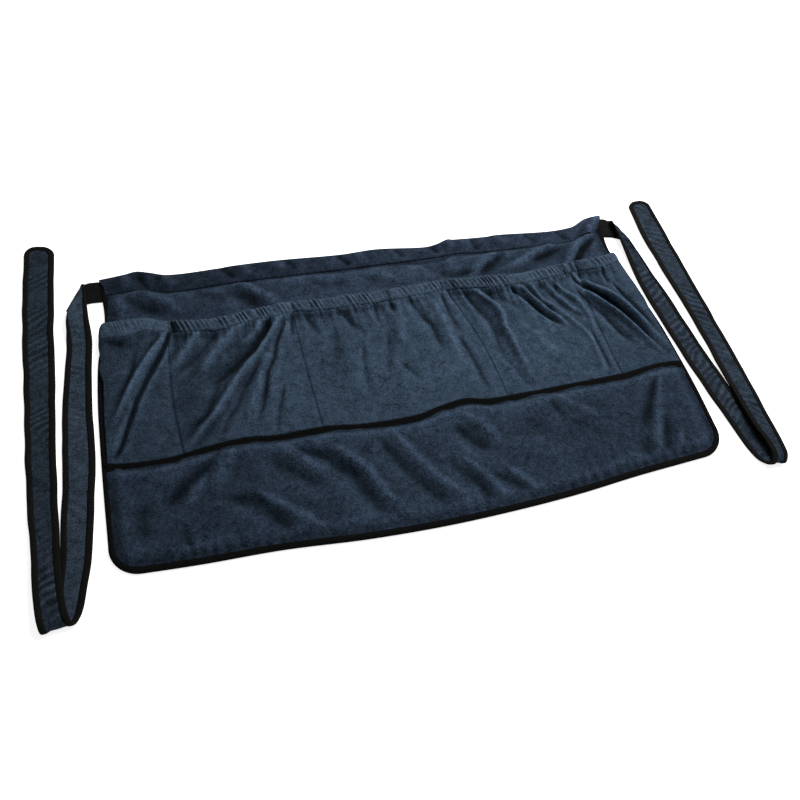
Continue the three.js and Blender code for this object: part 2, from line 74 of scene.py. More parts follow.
camera_data = bpy.data.cameras.new("camera")
camera_data.sensor_width = SENSOR_WIDTH
camera_data.lens = FOCAL_PIXELS * SENSOR_WIDTH / IMAGE_WIDTH
camera = bpy.data.objects.new("camera", camera_data)
turn = Matrix((camera_right, camera_up, -forward)).transposed()
camera.matrix_world = Matrix.Translation(CAMERA_PLACE) @ turn.to_4x4()
bpy.context.collection.objects.link(camera)
bpy.context.scene.camera = camera
print("camera lens", round(camera_data.lens, 2), "mm")

# %% [markdown]
# ## Floor and light
#
# The apron lies on a white sweep that the photograph shows almost without shadows. Lamps alone
# could whiten it, but they would bleach the cloth too. So the floor glows a little by itself, a
# weak even sky fills the shadows, and the key is one large soft panel to the right and behind. It
# stands low enough to rake over the cloth, so each fold gets a light and a dark side.

# %% Floor and light
FLOOR_HALF = 4.0
FLOOR_WHITE = 0.92
FLOOR_GLOW = 0.78
SKY_STRENGTH = 0.19
KEY_PLACE = Vector((1.25, 0.95, 1.6))
KEY_AIM = Vector((0.0, 0.0, 0.0))
KEY_SIZE = 1.3
KEY_WATTS = 70

scene = bpy.context.scene
scene.view_settings.view_transform = "Standard"

sky = bpy.data.worlds.new("studio")
sky.use_nodes = True
sky.node_tree.nodes["Background"].inputs["Color"].default_value = (1, 1, 1, 1)
sky.node_tree.nodes["Background"].inputs["Strength"].default_value = SKY_STRENGTH
scene.world = sky

key_data = bpy.data.lights.new("key", "AREA")
key_data.shape = "DISK"
key_data.size = KEY_SIZE
key_data.energy = KEY_WATTS
key = bpy.data.objects.new("key", key_data)
key.location = KEY_PLACE
key.rotation_euler = (KEY_AIM - KEY_PLACE).to_track_quat("-Z", "Y").to_euler()
bpy.context.collection.objects.link(key)

bm = bmesh.new()
bmesh.ops.create_grid(bm, x_segments=1, y_segments=1, size=FLOOR_HALF)
floor_mesh = bpy.data.meshes.new("floor")
bm.to_mesh(floor_mesh)
bm.free()
floor = bpy.data.objects.new("floor", floor_mesh)
bpy.context.collection.objects.link(floor)

floor_white = bpy.data.materials.new("floor_white")
floor_white.use_nodes = True
floor_shader = floor_white.node_tree.nodes["Principled BSDF"]
floor_shader.inputs["Base Color"].default_value = (FLOOR_WHITE, FLOOR_WHITE, FLOOR_WHITE, 1)
floor_shader.inputs["Roughness"].default_value = 0.9
floor_shader.inputs["Emission Color"].default_value = (1, 1, 1, 1)
floor_shader.inputs["Emission Strength"].default_value = FLOOR_GLOW
floor_mesh.materials.append(floor_white)
key_distance = (KEY_AIM - KEY_PLACE).length
print("floor", FLOOR_HALF * 2, "m wide, key light", round(key_distance, 2), "m away")

# %% [markdown]
# ## Measuring tools
#
# Every edge of the apron was measured as a few points, in millimetres. A Blender curve object could
# run through them, but the cloth between two edges needs the values themselves. So `curve` turns a
# row of points into a smooth line that can be asked anywhere, `ease` blends from 0 to 1 between two
# limits, and `bell` is a soft bump. They all take whole arrays, so a sheet of fifty thousand
# vertices moves in one step.

# %% Measuring tools
MM = 0.001


def curve(rows):
    """A smooth line through (place, value) points."""
    knots, values = np.array(rows, dtype=float).T
    before = np.maximum(np.arange(len(knots)) - 1, 0)
    after = np.minimum(np.arange(len(knots)) + 1, len(knots) - 1)
    slopes = (values[after] - values[before]) / (knots[after] - knots[before])

    def at(place):
        place = np.clip(place, knots[0], knots[-1])
        i = np.clip(np.searchsorted(knots, place) - 1, 0, len(knots) - 2)
        span = knots[i + 1] - knots[i]
        q = (place - knots[i]) / span
        rise = values[i + 1] - values[i]
        bend = q * (1 - q) * span * (slopes[i] * (1 - q) - slopes[i + 1] * q)
        return values[i] + rise * q * q * (3 - 2 * q) + bend

    return at


def ease(value, low, high):
    share = np.clip((value - low) / (high - low), 0, 1)
    return share * share * (3 - 2 * share)


def lerp(start, end, share):
    return start + (end - start) * share


def bell(value, middle, half):
    """A soft bump that is 1 in its middle."""
    return np.exp(-(((value - middle) / half) ** 2))


def above_zero(height, rounding):
    """The height where it is above zero, with a rounded turn to zero below."""
    return 0.5 * (height + np.sqrt(height**2 + rounding))


print("a curve through two points gives", curve([(0, 0), (10, 5)])(np.array([5.0])), "halfway")

# %% [markdown]
# ## Lumps and folds
#
# Slack cloth is never flat. A sculpted or simulated surface would do for any apron, but this one
# has its own folds. So `fold_height` lays ridges and creases along measured lines: each starts
# narrow, widens and fades out, as a fold does that runs away from a seam. `lumps` adds seeded
# random heights for the wrinkles that are too small to measure.

# %% Lumps and folds
LATTICE = 128
RIDGE_POWER = 2.0
CREASE_POWER = 1.4
FOLD_START = 0.55
FOLD_WIDENS = (0, 0.35)
FOLD_RISES = (-0.15, 0.2)
FOLD_FADES = (0.65, 1.05)
FOLD_REACH = 4


def lumps(x, y, size, seed):
    """Smooth random heights from -1 to 1, with lumps of about the given size."""
    lattice = np.random.default_rng(seed).uniform(-1, 1, (LATTICE, LATTICE))
    u, v = x / size + LATTICE // 2, y / size + LATTICE // 2
    i, j = np.floor(u).astype(int), np.floor(v).astype(int)
    p, q = ease(u - i, 0, 1), ease(v - j, 0, 1)
    here, right = i % LATTICE, (i + 1) % LATTICE
    below, above = j % LATTICE, (j + 1) % LATTICE
    low = lerp(lattice[here, below], lattice[right, below], p)
    high = lerp(lattice[here, above], lattice[right, above], p)
    return lerp(low, high, q)


def wander(x, size, seed):
    """The same random heights along a line."""
    return lumps(x, x * 0, size, seed)


def slack_height(x, y, table):
    """Heights of slack cloth: each row adds lumps of one height, size and seed."""
    return sum(height * lumps(x, y, size, seed) for height, size, seed in table)


def fold_height(folds, x, y):
    """Height of a table of folds. A row holds crest or depth, half width and the line's points."""
    height = np.zeros_like(x)
    for crest, width, *points in folds:
        line = np.array(points, dtype=float)
        low, high = line.min(axis=0) - FOLD_REACH * width, line.max(axis=0) + FOLD_REACH * width
        near = (x > low[0]) & (x < high[0]) & (y > low[1]) & (y < high[1])
        px, py = x[near], y[near]
        ways = np.diff(line, axis=0)
        runs = np.hypot(ways[:, 0], ways[:, 1])
        starts = np.concatenate([[0], np.cumsum(runs)])
        closest, share = np.full(len(px), np.inf), np.zeros(len(px))
        for k, (way, run) in enumerate(zip(ways, runs)):
            from_x, from_y = px - line[k, 0], py - line[k, 1]
            along = np.clip((from_x * way[0] + from_y * way[1]) / run**2, 0, 1)
            gap = np.hypot(from_x - along * way[0], from_y - along * way[1])
            share = np.where(gap < closest, (starts[k] + along * run) / starts[-1], share)
            closest = np.minimum(gap, closest)
        sharp = RIDGE_POWER if crest > 0 else CREASE_POWER
        fade = ease(share, *FOLD_RISES) * (1 - ease(share, *FOLD_FADES))
        spread = width * lerp(FOLD_START, 1.0, ease(share, *FOLD_WIDENS))
        height[near] += crest * np.exp(-((closest / spread) ** sharp)) * fade
    return height


ridge = fold_height([(2.0, 5, (0, 0), (10, 0))], np.array([5.0]), np.array([0.0]))
print("a ridge of 2 mm measures", ridge, "mm on its line")

# %% [markdown]
# ## From a grid to a sheet of cloth
#
# A sheet can be drawn vertex by vertex, but Blender's grid operator already makes clean rows of
# faces. So each piece starts as a flat unit grid, and a function of the two shares, across and up,
# says where each vertex goes. A Solidify modifier then gives the cloth its thickness. The grid's UV
# map is kept in metres of real cloth, which lets a woven pattern follow a strip round its bends.
# A plush sheet also keeps an attribute that says how deep each vertex lies, from which its material
# paints shade into the creases and a highlight onto the crests. A broad offset added to it paints
# wider shade or light over parts of a sheet.


# %% From a grid to a sheet of cloth
def hollows(height, grid, reach, full):
    """How deep each vertex of a grid lies in the cloth round it: 1 in a crease, -1 on a crest."""
    columns, rows = grid
    level = height.reshape(rows + 1, columns + 1)
    for axis, steps in enumerate(reach):
        weights = np.hanning(2 * steps + 3)[1:-1]
        weights = weights / weights.sum()
        level = np.apply_along_axis(
            lambda line: np.convolve(np.pad(line, steps, "edge"), weights, "valid"), axis, level
        )
    return np.clip((level.ravel() - height) / full, -1, 1)


def new_piece(name, bm):
    """A smooth object from a finished bmesh."""
    mesh = bpy.data.meshes.new(name)
    bm.to_mesh(mesh)
    bm.free()
    mesh.polygons.foreach_set("use_smooth", np.ones(len(mesh.polygons), dtype=bool))
    piece = bpy.data.objects.new(name, mesh)
    bpy.context.collection.objects.link(piece)
    print(name, len(mesh.polygons), "faces")
    return piece


def cloth_piece(name, grid, place, flat, thick, offset=-1.0, reach=None, full=None):
    """A sheet whose vertices are put in place by place(across, up), in millimetres."""
    bm = bmesh.new()
    uv_layer = bm.loops.layers.uv.new("UVMap")
    bmesh.ops.create_grid(bm, x_segments=grid[0], y_segments=grid[1], size=0.5)
    for face in bm.faces:
        for loop in face.loops:
            spot = loop.vert.co
            loop[uv_layer].uv = ((spot.x + 0.5) * flat[0], (spot.y + 0.5) * flat[1])
    piece = new_piece(name, bm)
    mesh = piece.data
    shares = np.empty(len(mesh.vertices) * 3)
    mesh.vertices.foreach_get("co", shares)
    across, up = shares.reshape(-1, 3)[:, 0] + 0.5, shares.reshape(-1, 3)[:, 1] + 0.5
    x, y, z, *shading = place(across, up)
    mesh.vertices.foreach_set("co", np.stack([x, y, z], axis=1).ravel() * MM)
    # Painted shade: how deep each vertex lies, plus a broad offset, kept for the material to darken
    # creases and lighten crests.
    if reach:
        relief, painted_shade_offset = shading
        depth = np.clip(hollows(relief, grid, reach, full) + painted_shade_offset, -1, 1)
        mesh.attributes.new("painted_shading", "FLOAT", "POINT").data.foreach_set("value", depth)
    mesh.update()
    wall = piece.modifiers.new("thickness", "SOLIDIFY")
    wall.thickness = thick * MM
    wall.offset = offset
    return piece


print("helpers for sheets ready")

# %% [markdown]
# ## Outline of the panel
#
# The panel is one sheet of plush. Its sides draw in towards the waist, the hem bows towards the
# feet, its lower corners are round and the waist edge has small bumps of slack cloth. A straight
# rectangle would be quicker, but the eye knows cloth by its uneven edges, so each edge is a
# measured curve.

# %% Outline of the panel
CLOTH = 2.0
GAP = 0.3
RIM = 1.3
CORNER_RADIUS = 34
CORNER_SHARE = 0.14
RIM_FLAT = 9
RIM_FADE = 25
BAND_DEPTH = 34
RIGHT_SLACK = 8.5
RIGHT_SLACK_SPAN = (200, 300)
SLACK_LIFT = 3.6

left_side = curve([
    (-176, -398.5), (-100, -400), (0, -400.5), (53, -399), (97, -395.5),
    (135, -387), (170, -384), (205, -385.5), (242, -389.5),
])
right_side = curve([
    (-176, 399.5), (-100, 401), (0, 398), (53, 392.5), (97, 387),
    (135, 380), (170, 376.5), (205, 380.5), (242, 387.5),
])
hem = curve([
    (-400, -219), (-300, -224), (-200, -226), (-96, -233.5), (0, -236),
    (95, -233.5), (180, -228), (263, -219), (330, -213.5), (400, -208),
])
waist = curve([
    (-390, 240), (-352, 244.5), (-336, 247.5), (-320, 243), (-291, 233), (-219, 233), (-200, 234.5),
    (-132, 234), (-38, 229), (18, 230.5), (92, 222), (112, 225), (131, 232), (140, 230), (193, 227),
    (210, 228), (296, 221), (336, 224), (358, 232), (374, 235.5), (390, 236.5),
])
tape_line = curve([
    (-396, -74), (-346, -79), (-310, -78), (-265, -71), (-218, -68.5), (-184, -72.5), (-119, -71.5),
    (-65, -78), (3, -78), (38, -70), (75, -65), (107, -71.5), (245, -69), (307, -67), (365, -60),
    (398, -63),
])
mouth_line = curve([
    (-388, 159), (-329, 157), (-300, 147), (-234, 140), (-191, 145), (-126, 151), (-84, 148),
    (15, 148.5), (112, 151), (201, 144.5), (256, 147.5), (307, 153), (355, 156), (385, 163),
])
flat_height = waist(np.array([0.0]))[0] - hem(np.array([0.0]))[0]
print("panel", round(right_side(0.0) - left_side(0.0)), "mm wide,", round(flat_height), "mm tall")

# %% [markdown]
# ## The panel's surface
#
# The real panel lies on the table, lifts onto its binding at the rim, and keeps a few soft folds. A
# cloth simulation would give some folds, but not the ones in the photograph. So each fold is a row
# of a table: where its line starts and ends, how high it stands and how wide it is. Small random
# lumps on top keep the flat parts from looking like board.

# %% The panel's surface
PANEL_FOLDS = [
    (-4.4, 9, (-258, -82), (-285, -104), (-305, -119), (-334, -152)),
    (2.6, 7, (-276, -108), (-292, -130), (-308, -156)),
    (2.2, 9, (-238, -78), (-252, -100), (-272, -140)),
    (-4.4, 11, (-256, -146), (-222, -158), (-202, -180), (-182, -212)),
    (3.4, 7, (-218, -144), (-194, -168), (-168, -190), (-136, -220)),
    (2.8, 8, (-190, -78), (-168, -98), (-150, -115), (-126, -138)),
    (-2.8, 10, (-198, -100), (-173, -125), (-151, -143), (-122, -160)),
    (-4.8, 9, (-158, -94), (-127, -111), (-98, -144), (-87, -170), (-66, -218)),
    (3.6, 7, (-118, -96), (-98, -117), (-80, -138), (-62, -182), (-34, -224)),
    (-4.2, 9, (-54, -100), (-36, -138), (-20, -165), (-4, -190), (14, -222)),
    (3.4, 7, (-42, -84), (-22, -117), (-8, -143), (6, -174), (22, -190), (50, -226)),
    (-3.2, 8, (26, -150), (44, -173), (57, -192), (70, -222)),
    (2.8, 5.5, (46, -150), (65, -176), (76, -197), (95, -228)),
    (-4.2, 9, (50, -102), (71, -130), (86, -150)),
    (3.2, 8, (60, -80), (84, -103), (95, -125), (110, -148)),
    (-2.4, 6, (80, -182), (103, -200), (122, -222)),
    (2.6, 5, (94, -170), (114, -195), (134, -222)),
    (-2.6, 6, (186, -80), (192, -98), (199, -120)),
    (2.2, 6, (188, -70), (213, -98), (238, -117), (256, -138)),
    (-1.8, 12, (120, -130), (150, -118), (180, -128)),
    (-4.2, 8, (350, -74), (332, -106), (316, -130), (294, -158)),
    (2.8, 6, (356, -76), (337, -111), (324, -141), (310, -176), (302, -208)),
    (-2.6, 7, (336, -146), (324, -176), (314, -204)),
    (2.2, 5, (346, -168), (335, -197), (330, -212)),
    (-2.2, 7, (300, -166), (292, -182), (288, -204)),
    (-2.0, 6, (-310, -176), (-308, -190), (-306, -206)),
    (-2.0, 12, (-352, -136), (-356, -160), (-358, -190)),
    (9.5, 8, (384, 232), (352, 200), (326, 180), (290, 134)),
    (-10.5, 3.8, (390, 222), (356, 190), (332, 172), (294, 126)),
    (5.6, 7, (204, 200), (176, 178), (142, 150)),
    (-6.3, 7, (212, 192), (186, 170), (154, 146)),
    (-4.6, 8, (152, 160), (124, 156), (92, 166)),
    (6.3, 8, (296, 196), (246, 170), (190, 144)),
    (-5.0, 7, (298, 180), (270, 172), (236, 162)),
    (5.6, 8, (-200, 202), (-174, 176), (-138, 142)),
    (-3.8, 11, (-222, 198), (-188, 166), (-162, 140)),
    (-4.0, 11, (-356, 198), (-330, 176), (-302, 152)),
    (-3.0, 12, (-262, 190), (-232, 180), (-204, 176)),
    (3.8, 9, (-322, 196), (-296, 178), (-280, 150)),
    (-3.5, 10, (-90, 180), (-60, 170), (-30, 175)),
    (2.8, 10, (0, 180), (30, 168), (70, 172)),
    (-3.5, 9, (76, 184), (96, 176), (120, 180)),
]
PANEL_GRID = (284, 170)
PANEL_FLAT = (0.8, 0.475)
PANEL_SLACK = [(0.7, 34, 3), (0.35, 13, 4)]
SLACK_REST = 1.05
HEM_PUCKER = 15
EDGE_PUFF = 0.7
SEAM_PUFF = 0.8
# Painted shade: the panel is painted darker towards both sides, where less light falls, and a little
# paler in the middle.
panel_painted_shade = curve([
    (-400, 0.2), (-300, 0.15), (-180, 0.06), (-60, -0.03),
    (80, -0.03), (200, 0.06), (300, 0.15), (400, 0.16),
])


def rim_distance(x, y):
    """Distance from a place on the panel to its nearest edge, round corners included."""
    from_side = np.minimum(right_side(y) - x, x - left_side(y)) - RIM
    from_hem = y - hem(x) - RIM
    from_waist = waist(x) - RIM - y
    corner = CORNER_RADIUS - np.hypot(CORNER_RADIUS - from_side, CORNER_RADIUS - from_hem)
    in_corner = (from_side < CORNER_RADIUS) & (from_hem < CORNER_RADIUS)
    return np.where(in_corner, corner, np.minimum(np.minimum(from_side, from_hem), from_waist))


def into_band(x, y):
    """How far a place lies above the band's foot, which hangs higher at the slack right end."""
    return y - waist(x) + BAND_DEPTH - RIGHT_SLACK * ease(x, *RIGHT_SLACK_SPAN)


def panel_top(x, y):
    """Height of the panel's upper face: sewn down under the patch and the band, loose elsewhere."""
    flat = ease(rim_distance(x, y), RIM_FLAT, RIM_FADE)
    skirt = ease(tape_line(x) - y, 3, 13)
    above = ease(y - mouth_line(x), -40, -5) * ease(-into_band(x, y), -2, 10)
    loose = np.maximum(skirt, above)
    folds = above_zero(SLACK_LIFT + fold_height(PANEL_FOLDS, x, y), 1.0)
    return RIM * (1 - flat) + folds * loose * flat + CLOTH


def panel_plan(across, up):
    """X and Y on the panel: round corners at the hem, even rows above them."""
    swing = np.clip(up / CORNER_SHARE, 0, 1) * math.pi / 2
    round_in = CORNER_RADIUS * (1 - np.sin(swing))
    corner_climb = CORNER_RADIUS * (1 - np.cos(swing))
    share = np.clip((up - CORNER_SHARE) / (1 - CORNER_SHARE), 0, 1)

    def climb(x):
        low, high = hem(x) + RIM, waist(x) - RIM
        return low + corner_climb + (high - low - CORNER_RADIUS) * share

    left = left_side(climb(np.full_like(across, -400))) + RIM + round_in
    right = right_side(climb(np.full_like(across, 400))) - RIM - round_in
    x = lerp(left, right, across)
    return x, climb(x)


def panel_spot(across, up):
    x, y = panel_plan(across, up)
    inside = ease(rim_distance(x, y), 8, 22)
    covered = ease(y - tape_line(x), -2, 6) * (1 - ease(y - mouth_line(x), -30, -12))
    covered = np.maximum(covered, ease(into_band(x, y), -4, 2))
    slack = slack_height(x, y, PANEL_SLACK) + SLACK_REST
    phase = x / HEM_PUCKER * 2 * math.pi + 2.5 * wander(x, 40, 7)
    puckers = np.sin(phase) * (0.6 + 0.6 * wander(x, 70, 8))
    puff = EDGE_PUFF * bell(rim_distance(x, y), 15, 6) + SEAM_PUFF * bell(tape_line(x) - y, 12, 6)
    puff = puff + SEAM_PUFF * puckers * bell(y - hem(x), 15, 9)
    z = panel_top(x, y) + (slack * inside + puff) * (1 - covered)
    # The second height is the relief that paints the panel's creases darker and its crests paler.
    return x, y, z, z, panel_painted_shade(x)


apron_panel = cloth_piece(
    "apron_panel", PANEL_GRID, panel_spot, PANEL_FLAT, CLOTH, reach=(11, 11), full=4.0
)

# %% [markdown]
# ## Edge binding
#
# A black strip is folded over the panel's raw edge, down one side, round both corners and up the
# other side. It could be a tube, but a real binding has two flat legs that are pulled down by their
# stitching, so it is a strip carried along the edge with the section of a folded tape. Its rim line
# comes from the same function that laid out the panel. The front leg is not equally wide all round:
# it shows most at the hem, and the patch hides a part of it at the sides.

# %% Edge binding
BINDING_LEG = 7.9
BINDING_WALL = 0.7
BINDING_FLAT_WIDTH = 0.022
THIN_ROLL = 0.55
ROLL_REACH = 0.75
SIDE_STEPS = 250
HEM_STEPS = 330


def folded_section(leg, half, crown):
    """Outer line of a folded strip: front leg, rounded edge, back leg, as (out, up) points."""
    reach = half * ROLL_REACH
    points = [(-leg, half - 1.0), (-leg + 0.5, half - 0.45), (-leg + 1.6, half - 0.25)]
    points += [(-leg * 0.6, half + crown), (-leg * 0.3, half + crown * 0.8)]
    for step in range(9):
        angle = math.radians(80 - 20 * step)
        points.append((reach * math.cos(angle), half * math.sin(angle)))
    points += [(-leg * 0.4, -half), (-leg + 1.0, -half), (-leg, -half + 0.8)]
    return np.array(points)


def carry(spine, out, up, section, leg_share):
    """A place function that carries a section along a line of points with their two ways."""
    last, edge = len(spine) - 1, len(section) - 1

    def place(across, around):
        i = np.rint(across * last).astype(int)
        k = np.rint(around * edge).astype(int)
        full = lerp(THIN_ROLL, 1.0, np.clip(leg_share[i], 0, 1))
        reach = section[k, 0] * np.where(section[k, 0] < 0, leg_share[i], full)
        spot = spine[i] + out[i] * reach[:, None] + up[i] * section[k, 1:] * full[:, None]
        return spot[:, 0], spot[:, 1], spot[:, 2]

    return place


def unit(rows):
    return rows / np.linalg.norm(rows, axis=1)[:, None]


rim_down = np.linspace(0.99, 0, SIDE_STEPS)
rim_along = np.linspace(1, 0, HEM_STEPS)[1:]
rim_across = np.concatenate([np.ones_like(rim_down), rim_along, np.zeros_like(rim_down[1:])])
rim_up = np.concatenate([rim_down, np.zeros_like(rim_along), rim_down[::-1][1:]])
rim_x, rim_y = panel_plan(rim_across, rim_up)
rim_spine = np.stack([rim_x, rim_y, np.full_like(rim_x, RIM + CLOTH / 2)], axis=1)
rim_ahead = unit(np.gradient(rim_spine, axis=0))
rim_out = np.stack([-rim_ahead[:, 1], rim_ahead[:, 0], rim_ahead[:, 2]], axis=1)
rim_rise = np.tile([0.0, 0.0, 1.0], (len(rim_spine), 1))
rim_length = np.linalg.norm(np.diff(rim_spine, axis=0), axis=1).sum() * MM

edge_section = folded_section(BINDING_LEG, RIM + CLOTH / 2, 0.5)
LEFT_LEGS = [
    (-219, 0.88), (-182, 0.7), (-150, 0.66), (-60, 0.66),
    (92, 0.64), (140, 0.3), (165, 0.3), (200, 0.8),
]
RIGHT_LEGS = [
    (-208, 0.88), (-172, 0.7), (-140, 0.66), (-66, 0.62), (-50, 0.36),
    (80, 0.26), (140, 0.3), (165, 0.3), (200, 0.8),
]
left_leg, right_leg = (np.interp(rim_y, *np.array(legs).T) for legs in (LEFT_LEGS, RIGHT_LEGS))
edge_leg = np.where(rim_x < 0, left_leg, right_leg)
edge_place = carry(rim_spine, rim_out, rim_rise, edge_section, edge_leg)
edge_binding = cloth_piece(
    "edge_binding",
    (len(rim_spine) - 1, len(edge_section) - 1),
    edge_place,
    (rim_length, BINDING_FLAT_WIDTH),
    BINDING_WALL,
)
print("edge binding", round(rim_length, 3), "m long")

# %% [markdown]
# ## Waistband
#
# The panel's top edge is doubled into a band with one line of stitching below it. The fold is soft,
# so the band stands a little proud between its rolled edge and the stitches, and the stitches pull
# it down in small puckers. At the right end the tie's pull has lifted the corner into a hump. A
# flat strip with a bevel would miss all that, so the section runs from the stitch line up the
# front, over the roll and down the back, and measured folds cross it. No fold may dip below the
# panel that it lies on.

# %% Waistband
BAND_GRID = (520, 34)
BAND_FLAT = (0.77, 0.05)
BAND_SLACK = [(0.9, 26, 22), (0.5, 11, 23)]
BAND_WALL = 0.9
BAND_WIDE = 30
BAND_INSET = 6.0
BAND_SIDE_Y = 225
BAND_FRONT = 0.62
BAND_ROLL = 0.2
BAND_BACK = 7.7
BAND_PROUD = 2.4
RIGHT_PROUD = 1.0
END_HUMP = 5.5
HUMP_RISES = (332, 358)
HUMP_FALLS = (372, 386)
HUMP_DROP = 0.4
BAND_FOLDS = [
    (9.0, 8, (398, 254), (366, 214), (336, 180)),
    (-9.0, 4.5, (406, 246), (374, 208), (346, 176)),
    (-3.6, 9, (-334, 262), (-328, 222), (-314, 196)),
    (2.8, 9, (-352, 240), (-350, 224), (-354, 208)),
    (2.8, 10, (-296, 232), (-292, 218), (-280, 202)),
    (-4.2, 10, (-214, 236), (-206, 224), (-196, 206)),
    (2.8, 9, (-186, 236), (-180, 220), (-176, 204)),
    (2.8, 8, (-140, 236), (-132, 222), (-126, 204)),
    (-2.8, 8, (-120, 234), (-112, 220), (-106, 202)),
    (-4.2, 9, (-44, 228), (-34, 216), (-22, 202)),
    (2.5, 9, (-14, 230), (-8, 216), (0, 200)),
    (-2.8, 9, (44, 228), (52, 214), (56, 202)),
    (-4.2, 8, (100, 224), (106, 212), (112, 202)),
    (3.5, 8, (132, 232), (132, 218), (134, 204)),
    (-3.5, 9, (166, 226), (170, 212), (176, 198)),
    (2.8, 9, (208, 228), (212, 214), (218, 198)),
    (-2.8, 9, (252, 222), (262, 208), (272, 198)),
    (-2.8, 8, (304, 220), (312, 208), (322, 196)),
]
stitch_waist = curve([
    (-385, 208), (-331, 208), (-287, 198), (-219, 201), (-74, 199), (9, 198), (104, 198),
    (140, 200), (196, 195), (325, 194), (390, 202),
])
# Painted shade towards the left end of the band; painted light at the right end, where the stitch
# line's shadow is painted paler.
band_painted_shade = curve([
    (-390, 0.34), (-250, 0.28), (-100, 0.15), (100, 0), (320, 0), (360, -0.2), (390, -0.2),
])


def band_spot(along, around):
    front = np.clip(around / BAND_FRONT, 0, 1)
    roll = np.clip((around - BAND_FRONT) / BAND_ROLL, 0, 1) * math.pi
    back = np.clip((around - BAND_FRONT - BAND_ROLL) / (1 - BAND_FRONT - BAND_ROLL), 0, 1)
    turned = around > BAND_FRONT
    inset = BAND_INSET * (1 - ease(front, 0.3, 0.95))
    left = left_side(np.full_like(along, BAND_SIDE_Y)) + inset
    right = right_side(np.full_like(along, BAND_SIDE_Y)) - inset
    x = lerp(left, right, along)
    top, foot = waist(x), stitch_waist(x)
    half = RIM + CLOTH / 2
    dome = np.sin(math.pi * front)
    lift = lerp(BAND_PROUD, RIGHT_PROUD, ease(x, 200, 310)) * dome**0.7
    pucker = 0.45 * np.sin(x / 1.6 + 2 * wander(x, 9, 21)) * np.exp(-front * 9)
    slack = slack_height(x, front * BAND_WIDE, BAND_SLACK) * dome
    y_front = lerp(foot, top - half, front)
    z_front = lerp(panel_top(x, foot) + 0.45, 2 * half, front) + lift + pucker + slack
    y = np.where(turned, top - half + half * np.sin(roll) - back * BAND_BACK, y_front)
    dents = fold_height(BAND_FOLDS, x, y) * dome**0.5
    z_front = np.maximum(z_front + dents, panel_top(x, y) + GAP)
    hump = END_HUMP * ease(x, *HUMP_RISES) * (1 - HUMP_DROP * ease(x, *HUMP_FALLS))
    z = np.where(turned, half + half * np.cos(roll), z_front) + hump * ease(front, 0.1, 0.9)
    # Relief for painted shade: the dents, the slack and the band's stand.
    return x, y, z, dents + slack + 0.34 * lift, band_painted_shade(x)


waistband = cloth_piece(
    "waistband", BAND_GRID, band_spot, BAND_FLAT, BAND_WALL, reach=(4, 9), full=1.7
)

# %% [markdown]
# ## Pocket patch
#
# One long patch covers the middle of the apron. Its foot is sewn down under a tape, four upright
# seams hold it to the panel, and an elastic gathers its mouth, so it makes five pockets that stand
# open a little. Five grids would need matching seams, so the patch is one grid. Each vertex belongs
# to a pocket, whose share across gives the arch between two seams. At both ends the patch is sewn
# to the panel's side low down, and stands free of it and a little over it near the mouth.

# %% Pocket patch: seams and arches
PATCH_STOPS = np.array([0, 0.11, 0.335, 0.625, 0.885, 1.0])
POCKET_LIFT = np.array([9.0, 12.0, 13.0, 12.0, 10.0])
SEAMS = [(-299, -305, -300), (-120, -125, -127), (134, 125, 100), (306, 304, 309)]
CASING_DEPTH = 21
END_DEPTH = 29
RIB_SLANT = 0.35
PatchEdge = namedtuple("PatchEdge", "sewn_to, free_from, over_from, overhang, tuck")
LEFT_EDGE = PatchEdge(0.45, 0.60, 0.76, 8.0, 7.4)
RIGHT_EDGE = PatchEdge(0.30, 0.42, 0.62, 3.0, 4.6)
FAR = 99


def seam_x(seam, up):
    foot, middle, mouth = seam
    return foot * (1 - up) * (1 - 2 * up) + middle * 4 * up * (1 - up) + mouth * up * (2 * up - 1)


def patch_side(side, way, edge, up):
    edge_x = side(0.0)
    y = lerp(tape_line(edge_x), mouth_line(edge_x), up)
    tuck = edge.tuck * (1 - ease(up, edge.free_from, edge.over_from))
    return side(y) - way * (tuck - edge.overhang * ease(up, edge.over_from, 0.95))


def patch_pocket(across):
    number = np.searchsorted(PATCH_STOPS, across, side="right") - 1
    number = np.clip(number, 0, len(POCKET_LIFT) - 1)
    local = (across - PATCH_STOPS[number]) / (PATCH_STOPS[number + 1] - PATCH_STOPS[number])
    return number, np.clip(local, 0, 1)


def patch_x(number, local, up):
    lines = [patch_side(left_side, -1, LEFT_EDGE, up)]
    lines += [seam_x(seam, up) for seam in SEAMS]
    lines += [patch_side(right_side, 1, RIGHT_EDGE, up)]
    lines = np.array(lines)
    column = np.arange(len(number))
    return lerp(lines[number, column], lines[number + 1, column], local)


def casing_depth(x):
    """The casing is turned down deeper at the left end, where it is hardly gathered."""
    return lerp(END_DEPTH, CASING_DEPTH, ease(x, -380, -298))


def seam_distance(number, local, up):
    """Distance from a place on the patch to its nearest upright seam. The sides are no seams."""
    wide = patch_x(number, np.ones_like(local), up) - patch_x(number, np.zeros_like(local), up)
    left = np.where(number > 0, local * wide, FAR)
    right = np.where(number < len(POCKET_LIFT) - 1, (1 - local) * wide, FAR)
    return np.minimum(left, right)


print("patch:", len(POCKET_LIFT), "pockets between", len(SEAMS), "seams")
